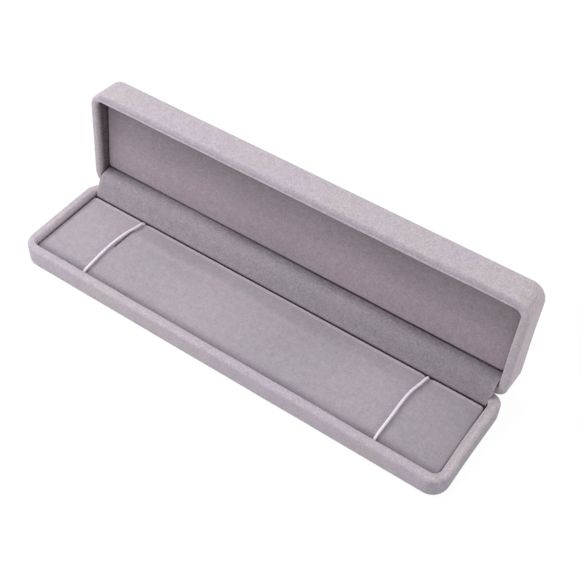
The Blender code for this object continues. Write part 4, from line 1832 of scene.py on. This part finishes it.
    def slit_blocks(self) -> list[tuple[Point, Point]]:
        """Blocks that cut both slits.

        Returns:
            Lowest and highest corner of each block.
        """
        top = self.high.z + self.slit_depth
        floor = self.high.z - 2 * self.crown - self.slit_depth
        blocks = []
        for slit in self.slits:
            middle = slit.side.value * self.slit + slit.shift
            low = (middle - slit.width / 2, slit.front, floor)
            high = (middle + slit.width / 2, slit.rear, top)
            blocks.append((low, high))
        return blocks

    def build(self) -> None:
        """Make the cover, the foam, the board and the cords."""
        cushion = Cushion(
            "pad",
            Body.PAD,
            self.fill,
            self.half.x,
            self.half.y,
            2 * self.half.z - self.skirt,
            self.crown,
            self.corner,
            held=tuple(cord.edge_places() for cord in self.cords),
        )
        finishes = self.shop.finishes
        cover = cushion.cover_mesh()
        self.settle(cover)
        puff(cover, lambda p: cushion.drawn_tight(p) or self.under_cord(p), self.swelling)
        # Painted light and shade: panel light, lid shadow and rear edge highlight; then painted
        # shade down the sides and along the rim
        paint(cover, TONE_AND_LIGHT, lambda point: self.nap(point) + self.edge_nap * cushion.open_edge(point))
        paint(cover, PAINTED_SHADE, lambda point: max(cushion.pressed(point), self.rim_shade(point)))
        place = Matrix.Translation(self.middle)
        cushion.build(self.shop, cover, finishes.pad, place, self.slit_blocks())
        for cord in self.cords:
            word = cord.side.word
            piece = self.shop.piece(f"cord_{word}", cord.mesh(), finishes.elastic)
            self.shop.seat(piece, Body.PAD, f"elastic_cord_{word}")
        self.shop.keep(finishes.elastic, [f"elastic_knot_{side.word}" for side in Side])


@dataclass
class Lining:
    """Padded lining panel of the lid, a little tilted."""

    shop: Workshop
    hinge: Hinge
    depth: float = 0.0064
    tilt: float = radians(2.2)
    height: float = 0.0052
    crown: float = 0.0003
    corner: float = 0.0014
    room: float = 0.0004
    rear_room: float = 0.0050
    swelling: Swelling = Swelling()
    fill: float = 0.8
    wave: float = 0.00016
    wave_size: float = 0.024
    # Painted shadow under the lid's rim, and painted light at the left end
    rim_nap: float = -2.0
    rim_start: float = -0.010
    rim_stop: float = 0.015
    end_nap: float = 2.2
    end_reach: float = 0.0060
    mean_nap: float = 0.2
    nap_share: float = 0.5
    nap_drift: Drift = Drift(18.0, 40.0, 3.0)

    def __post_init__(self) -> None:
        """Take the box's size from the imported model."""
        self.box_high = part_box("base_wrap")[1]

    def settle(self, bm: bmesh.types.BMesh) -> None:
        """Lay slow waves over the face.

        Args:
            bm: The cover's outside about the panel's own middle.
        """
        for vert in bm.verts:
            if vert.co.z > self.height / 2:
                vert.co.z += self.wave * noise.noise(vert.co / self.wave_size)

    def nap(self, point: Vector) -> float:
        """Tone and painted light: painted shadow darker towards the lid's front rim, painted light
        at the left end, and random tone.

        Args:
            point: A point of the cover about the panel's middle.

        Returns:
            The value, 0 for the mean tone.
        """
        towards_rim = self.rim_nap * ramp(point.y, self.rim_start, self.rim_stop)
        at_end = self.end_nap * (1.0 - ramp(point.x + self.half_x(), 0.0, self.end_reach))
        drift = self.nap_share * self.nap_drift.at(point.x, point.y)
        return self.mean_nap + towards_rim + at_end + drift

    def half_x(self) -> float:
        """Half the panel's length."""
        return self.box_high.x - LID_WALL - self.room

    def half_y(self) -> float:
        """Half the panel's width."""
        return self.box_high.y - LID_WALL - (self.room + self.rear_room) / 2

    def build(self) -> None:
        """Make the cover, the foam and the board."""
        middle_y = (self.room - self.rear_room) / 2
        face = self.box_high.z + RIM_GAP + self.depth
        cushion = Cushion(
            "lining",
            Body.LID,
            self.fill,
            self.half_x(),
            self.half_y(),
            self.height,
            self.crown,
            self.corner,
        )
        face_down = Matrix.Translation((0.0, 0.0, self.height)) @ Matrix.Rotation(pi, 4, "X")
        tilted = Matrix.Rotation(-self.tilt, 4, "X") @ face_down
        closed = Matrix.Translation((0.0, middle_y, face)) @ tilted
        place = self.hinge.open_lid() @ closed
        cover = cushion.cover_mesh()
        self.settle(cover)
        puff(cover, cushion.drawn_tight, self.swelling)
        # Painted rim shadow and end light, then painted shade down the sides
        paint(cover, TONE_AND_LIGHT, self.nap)
        paint(cover, PAINTED_SHADE, cushion.pressed)
        cushion.build(self.shop, cover, self.shop.finishes.lining, place)


@dataclass
class HingeCover:
    """Bent velvet strip from behind the pad to behind the lining's edge."""

    shop: Workshop
    hinge: Hinge
    thickness: float = 0.0007
    foot_rise: float = 0.0045
    tuck: float = 0.0024
    left_reach: float = 0.0005
    right_reach: float = 0.0007
    shift: float = 0.0007
    shift_rise: float = 0.0020
    sag: float = 0.00022
    sag_drift: Drift = Drift(34.0, 60.0, 2.0)
    free_below: float = 0.003
    free_above: float = 0.002
    # Painted shade in the gaps where the strip goes in behind the pad and the lining, and a soft
    # painted shadow under the lining
    foot_seam: float = 0.0007
    left_seam: float = 0.0005
    right_seam: float = 0.0006
    seam_core: float = 0.33
    soft_seam: float = 0.0048
    soft_shade: float = 0.36
    soft_share: float = 0.5
    soft_drift: Drift = Drift(25.0, 0.0, 5.0)
    # Painted light, lighter at the left and darker at the right, and painted highlights along the
    # cut ends
    nap_from: float = 0.02
    left_nap: float = 0.1
    right_nap: float = -0.5
    cut_end: float = 0.0010
    nap_share: float = 0.3
    nap_drift: Drift = Drift(16.0, 50.0, 6.0)
    cuts: int = 110
    path_shares: tuple[Flat, ...] = (
        (0.00, 0.00),
        (0.04, 0.15),
        (0.13, 0.34),
        (0.225, 0.55),
        (0.335, 0.76),
        (0.46, 0.90),
        (0.62, 0.98),
        (0.81, 1.01),
        (1.00, 1.00),
    )

    def __post_init__(self) -> None:
        """Take the strip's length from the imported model."""
        self.half = -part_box("hinge_cover_strip")[0].x

    def path(self) -> list[Flat]:
        """Middle line of the strip across the hinge.

        Returns:
            Points from the tray's floor to behind the lining.
        """
        low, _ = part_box("hinge_cover_strip")
        pad_low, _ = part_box("pad_cover")
        foot = (low.y + self.thickness / 2, pad_low.z + self.foot_rise - self.thickness)
        lining = Lining(self.shop, self.hinge)
        rim = lining.box_high
        line = rim.y - LID_WALL - lining.rear_room + CLEARANCE + self.thickness / 2
        face = rim.z + RIM_GAP + lining.depth - lining.half_y() * tan(lining.tilt)
        top = self.hinge.opened(line, face)
        shares = [
            Vector((foot[0] + (top[0] - foot[0]) * a, foot[1] + (top[1] - foot[1]) * b, 0.0))
            for a, b in self.path_shares
        ]
        bend = [(point.x, point.y) for point in smooth_route(shares, self.thickness / 2)]
        return [(foot[0], low.z), *bend, self.hinge.opened(line, face + self.tuck)]

    def ends(self) -> Flat:
        """Where the strip ends at the left and the right above the rim."""
        return -self.half - self.left_reach, self.half + self.right_reach + self.shift

    def nap(self, point: Vector) -> float:
        """Painted light: lighter at the left and darker at the right, with painted highlights
        along both cut ends, and random tone.

        Args:
            point: A point of the strip.

        Returns:
            The value, 0 for the mean tone.
        """
        left, right = self.ends()
        ends = 1.0 - ramp(min(point.x - left, right - point.x), 0.0, self.cut_end)
        leftwards = self.left_nap * ramp(-point.x, -self.nap_from, self.half)
        rightwards = self.right_nap * ramp(point.x, 0.0, self.half)
        drift = self.nap_share * self.nap_drift.at(point.x, point.z)
        return leftwards + rightwards + drift + ends

    def pressed(self, point: Vector, foot: Flat, seam: Flat) -> float:
        """How much shade is painted where the strip goes in behind its neighbours.

        Args:
            point: A point of the strip.
            foot: Where the strip comes up from behind the pad, as (y, z).
            seam: Where it goes in behind the lining, as (y, z).

        Returns:
            A share from 0 to 1.
        """
        low = hypot(point.y - foot[0], point.z - foot[1])
        high = hypot(point.y - seam[0], point.z - seam[1])
        in_gap = 1.0 - ramp(low, self.foot_seam / 2, self.foot_seam)
        wider = self.right_seam - self.left_seam
        width = self.left_seam + wider * ramp(point.x, -self.half, self.half)
        crisp = max(in_gap, 1.0 - ramp(high, self.seam_core * width, width))
        wave = 1.0 + self.soft_share * self.soft_drift.at(point.x, 0.0)
        soft = self.soft_shade * wave * (1.0 - ramp(high, 0.0, self.soft_seam * wave))
        return min(crisp + soft, 1.0)

    def build(self) -> None:
        """Make the strip at the lid's open place, in place of the imported strip."""
        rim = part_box("base_wrap")[1].z
        path = self.path()
        bm = strip_mesh(thicken(path, self.thickness), -self.half, self.half, self.cuts)
        for vert in bm.verts:
            out = vert.co.x / self.half
            above = min(max((vert.co.z - rim) / self.shift_rise, 0.0), 1.0)
            vert.co.x += self.shift * above * ramp(out, -1.0, 0.0)
            vert.co.x += self.right_reach * max(out, 0.0) + self.left_reach * min(out, 0.0)
            free = ramp(vert.co.z, rim - self.free_below, rim + self.free_above)
            vert.co.y += self.sag * free * self.sag_drift.at(vert.co.x, vert.co.z)
        # Painted light and highlights, then painted shade in the gaps
        paint(bm, TONE_AND_LIGHT, self.nap)
        paint(bm, PAINTED_SHADE, lambda point: self.pressed(point, path[1], path[-2]))
        piece = self.shop.piece("hinge_cover_velvet", bm, self.shop.finishes.strip)
        self.shop.bend(piece, "hinge_cover_strip", path[1], path[-2])


@dataclass
class Hinges:
    """Concealed snap hinges: leaves, pins and arched blade springs."""

    shop: Workshop
    hinge: Hinge
    sheet: float = 0.0004
    arch_radius: float = 0.0075
    hook: float = 0.0007
    arch_steps: int = 24
    cuts: int = 4

    def spring_path(self) -> list[Flat]:
        """Middle line of a blade from the base leaf's foot to the lid leaf's end.

        Returns:
            Points of the line at the open place.
        """
        low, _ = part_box("hinge_spring_left")
        half = self.sheet / 2
        base_line = low.y + half
        shut = self.hinge.open_lid().inverted()
        node = self.shop.nodes["hinge_spring_left"]
        closed = [shut @ vert.co for vert in node.data.vertices]
        lid_end = max(point.z for point in closed) - half
        lid_line = min(point.y for point in closed if point.z > lid_end - self.sheet) + half
        lid_run = Vector(self.hinge.opened(lid_line, lid_end))
        lid_start = Vector(self.hinge.opened(lid_line, self.hinge.z))
        foot = Vector((base_line, low.z + half))
        slope = (lid_run.y - lid_start.y) / (lid_run.x - lid_start.x)
        corner = Vector((base_line, lid_run.y + slope * (base_line - lid_run.x)))
        back = (foot - corner).normalized()
        ahead = (lid_run - corner).normalized()
        half_angle = acos(back.dot(ahead)) / 2
        centre = corner + (back + ahead).normalized() * (self.arch_radius / sin(half_angle))
        first = corner + back * (self.arch_radius / tan(half_angle)) - centre
        sweep = degrees(pi - 2 * half_angle)
        start = degrees(atan2(first.y, first.x))
        arch = arc(tuple(centre), self.arch_radius, start, start - sweep, self.arch_steps)
        hook_in = [(foot.x + self.hook, foot.y), (foot.x, foot.y)]
        hook_out = [tuple(lid_run), self.hinge.opened(lid_line + self.hook, lid_end)]
        return hook_in + arch + hook_out

    def build(self) -> None:
        """Dress the leaves and pins, and make the springs at the lid's open place."""
        steel = self.shop.finishes.steel
        path = self.spring_path()
        for side in Side:
            word = side.word
            names = (f"hinge_base_leaf_{word}", f"hinge_lid_leaf_{word}", f"hinge_pin_{word}")
            self.shop.keep(steel, names)
            low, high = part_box(f"hinge_spring_{word}")
            bm = strip_mesh(thicken(path, self.sheet), low.x, high.x, self.cuts)
            piece = self.shop.piece(f"snap_spring_{word}", bm, steel)
            self.shop.bend(piece, f"hinge_spring_{word}", path[2], path[-3])


@dataclass(frozen=True)
class Lamp:
    """A soft box and how brightly it lights a surface that faces it."""

    name: str
    place: Point
    size: Flat
    level: float


@dataclass
class Studio:
    """Pale floor, white surround, soft boxes and the camera."""

    floor_size: float = 4.0
    floor_drop: float = 0.0001
    floor_bounce: float = 0.75
    floor_shadow: float = 0.11
    floor_glow: float = 0.93
    world_level: float = 0.38
    lamps: tuple[Lamp, ...] = (
        Lamp("overhead_box", (-0.25, 0.20, 0.90), (0.8, 0.6), 0.31),
        Lamp("back_box", (0.15, 1.00, 0.26), (0.9, 0.4), 0.15),
        Lamp("left_box", (-0.52, -0.28, 0.46), (0.45, 0.40), 0.48),
        Lamp("front_box", (0.05, -0.95, 0.45), (0.8, 0.5), 0.09),
        Lamp("right_box", (0.95, 0.05, 0.40), (0.6, 0.5), 0.16),
    )
    camera_place: Point = (0.18314, -0.24465, 0.37866)
    camera_turn: Point = (41.198, -1.203, 34.770)
    camera_lens: float = 65.67
    camera_sensor: float = 36.0
    camera_near: float = 0.01

    def white_to_camera(self, nodes: Nodes) -> bpy.types.NodeSocket:
        """Factor that is 1 for what the camera sees, also in metal and glass.

        Args:
            nodes: Helper for the tree.

        Returns:
            Socket with the factor.
        """
        path = nodes.add("ShaderNodeLightPath")
        seen = nodes.math("MAXIMUM", path.outputs["Is Camera Ray"], path.outputs["Is Glossy Ray"])
        return nodes.math("MAXIMUM", seen, path.outputs["Is Transmission Ray"])

    def build_world(self) -> None:
        """White surround, at a plain level for the object."""
        world = bpy.data.worlds.new("studio")
        world.use_nodes = True
        bpy.context.scene.world = world
        nodes = Nodes(world.node_tree)
        background = world.node_tree.nodes["Background"]
        background.inputs["Color"].default_value = (1.0, 1.0, 1.0, 1.0)
        lift = nodes.math("MULTIPLY", self.white_to_camera(nodes), 1.0 - self.world_level)
        nodes.feed(background.inputs["Strength"], nodes.math("ADD", lift, self.world_level))

    def build_floor(self) -> None:
        """Floor that renders white and keeps the object's shadow."""
        bm = bmesh.new()
        place = Matrix.Translation((0.0, 0.0, -self.floor_drop))
        bmesh.ops.create_grid(
            bm, x_segments=1, y_segments=1, size=self.floor_size / 2, matrix=place
        )
        floor = mesh_object("floor", bm)
        material = bpy.data.materials.new("studio_floor")
        material.use_nodes = True
        tree = material.node_tree
        tree.nodes.remove(tree.nodes["Principled BSDF"])
        nodes = Nodes(tree)
        bounce = nodes.add("ShaderNodeBsdfDiffuse")
        nodes.give(bounce, {"Color": (*(self.floor_bounce,) * 3, 1.0)})
        shadow = nodes.add("ShaderNodeBsdfDiffuse")
        nodes.give(shadow, {"Color": (*(self.floor_shadow,) * 3, 1.0)})
        glow = nodes.add("ShaderNodeEmission")
        nodes.give(glow, {"Strength": self.floor_glow})
        seen = nodes.add("ShaderNodeAddShader")
        nodes.give(seen, {0: shadow.outputs[0], 1: glow.outputs[0]})
        choice = nodes.add("ShaderNodeMixShader")
        share = self.white_to_camera(nodes)
        nodes.give(choice, {0: share, 1: bounce.outputs[0], 2: seen.outputs[0]})
        nodes.give(tree.nodes["Material Output"], {"Surface": choice.outputs[0]})
        floor.data.materials.append(material)

    def build_lamps(self) -> None:
        """Soft boxes that face the box."""
        for lamp in self.lamps:
            light = bpy.data.lights.new(lamp.name, "AREA")
            light.shape = "RECTANGLE"
            light.size, light.size_y = lamp.size
            place = Vector(lamp.place)
            light.energy = lamp.level * pi * pi * place.length_squared
            holder = link_object(lamp.name, light)
            holder.location = place
            holder.rotation_euler = place.to_track_quat("Z", "Y").to_euler()

    def build_camera(self) -> None:
        """Camera where the photograph was taken from."""
        camera = bpy.data.cameras.new("camera")
        camera.sensor_width = self.camera_sensor
        camera.lens = self.camera_lens
        camera.clip_start = self.camera_near
        holder = link_object("camera", camera)
        holder.location = self.camera_place
        holder.rotation_euler = Euler([radians(angle) for angle in self.camera_turn])
        bpy.context.scene.camera = holder

    def build(self) -> None:
        """Set up the whole studio."""
        bpy.context.scene.view_settings.view_transform = "Standard"
        self.build_world()
        self.build_floor()
        self.build_lamps()
        self.build_camera()
        LOG.info("studio: %d soft boxes", len(self.lamps))


def main() -> None:
    """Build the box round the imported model."""
    logging.basicConfig(level=logging.INFO, format="%(message)s")
    noise.seed_set(WAVE_SEED)
    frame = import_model()
    joint = next(j for j in frame["joints"] if j["name"] == "lid_hinge")
    hinge = Hinge(joint["pos_m"][1], joint["pos_m"][2])
    shop = Workshop(frame["nodes"])
    Studio().build()
    Wraps(shop, hinge).build()
    Pad(shop).build()
    Lining(shop, hinge).build()
    HingeCover(shop, hinge).build()
    Hinges(shop, hinge).build()


if __name__ == "__main__":
    main()
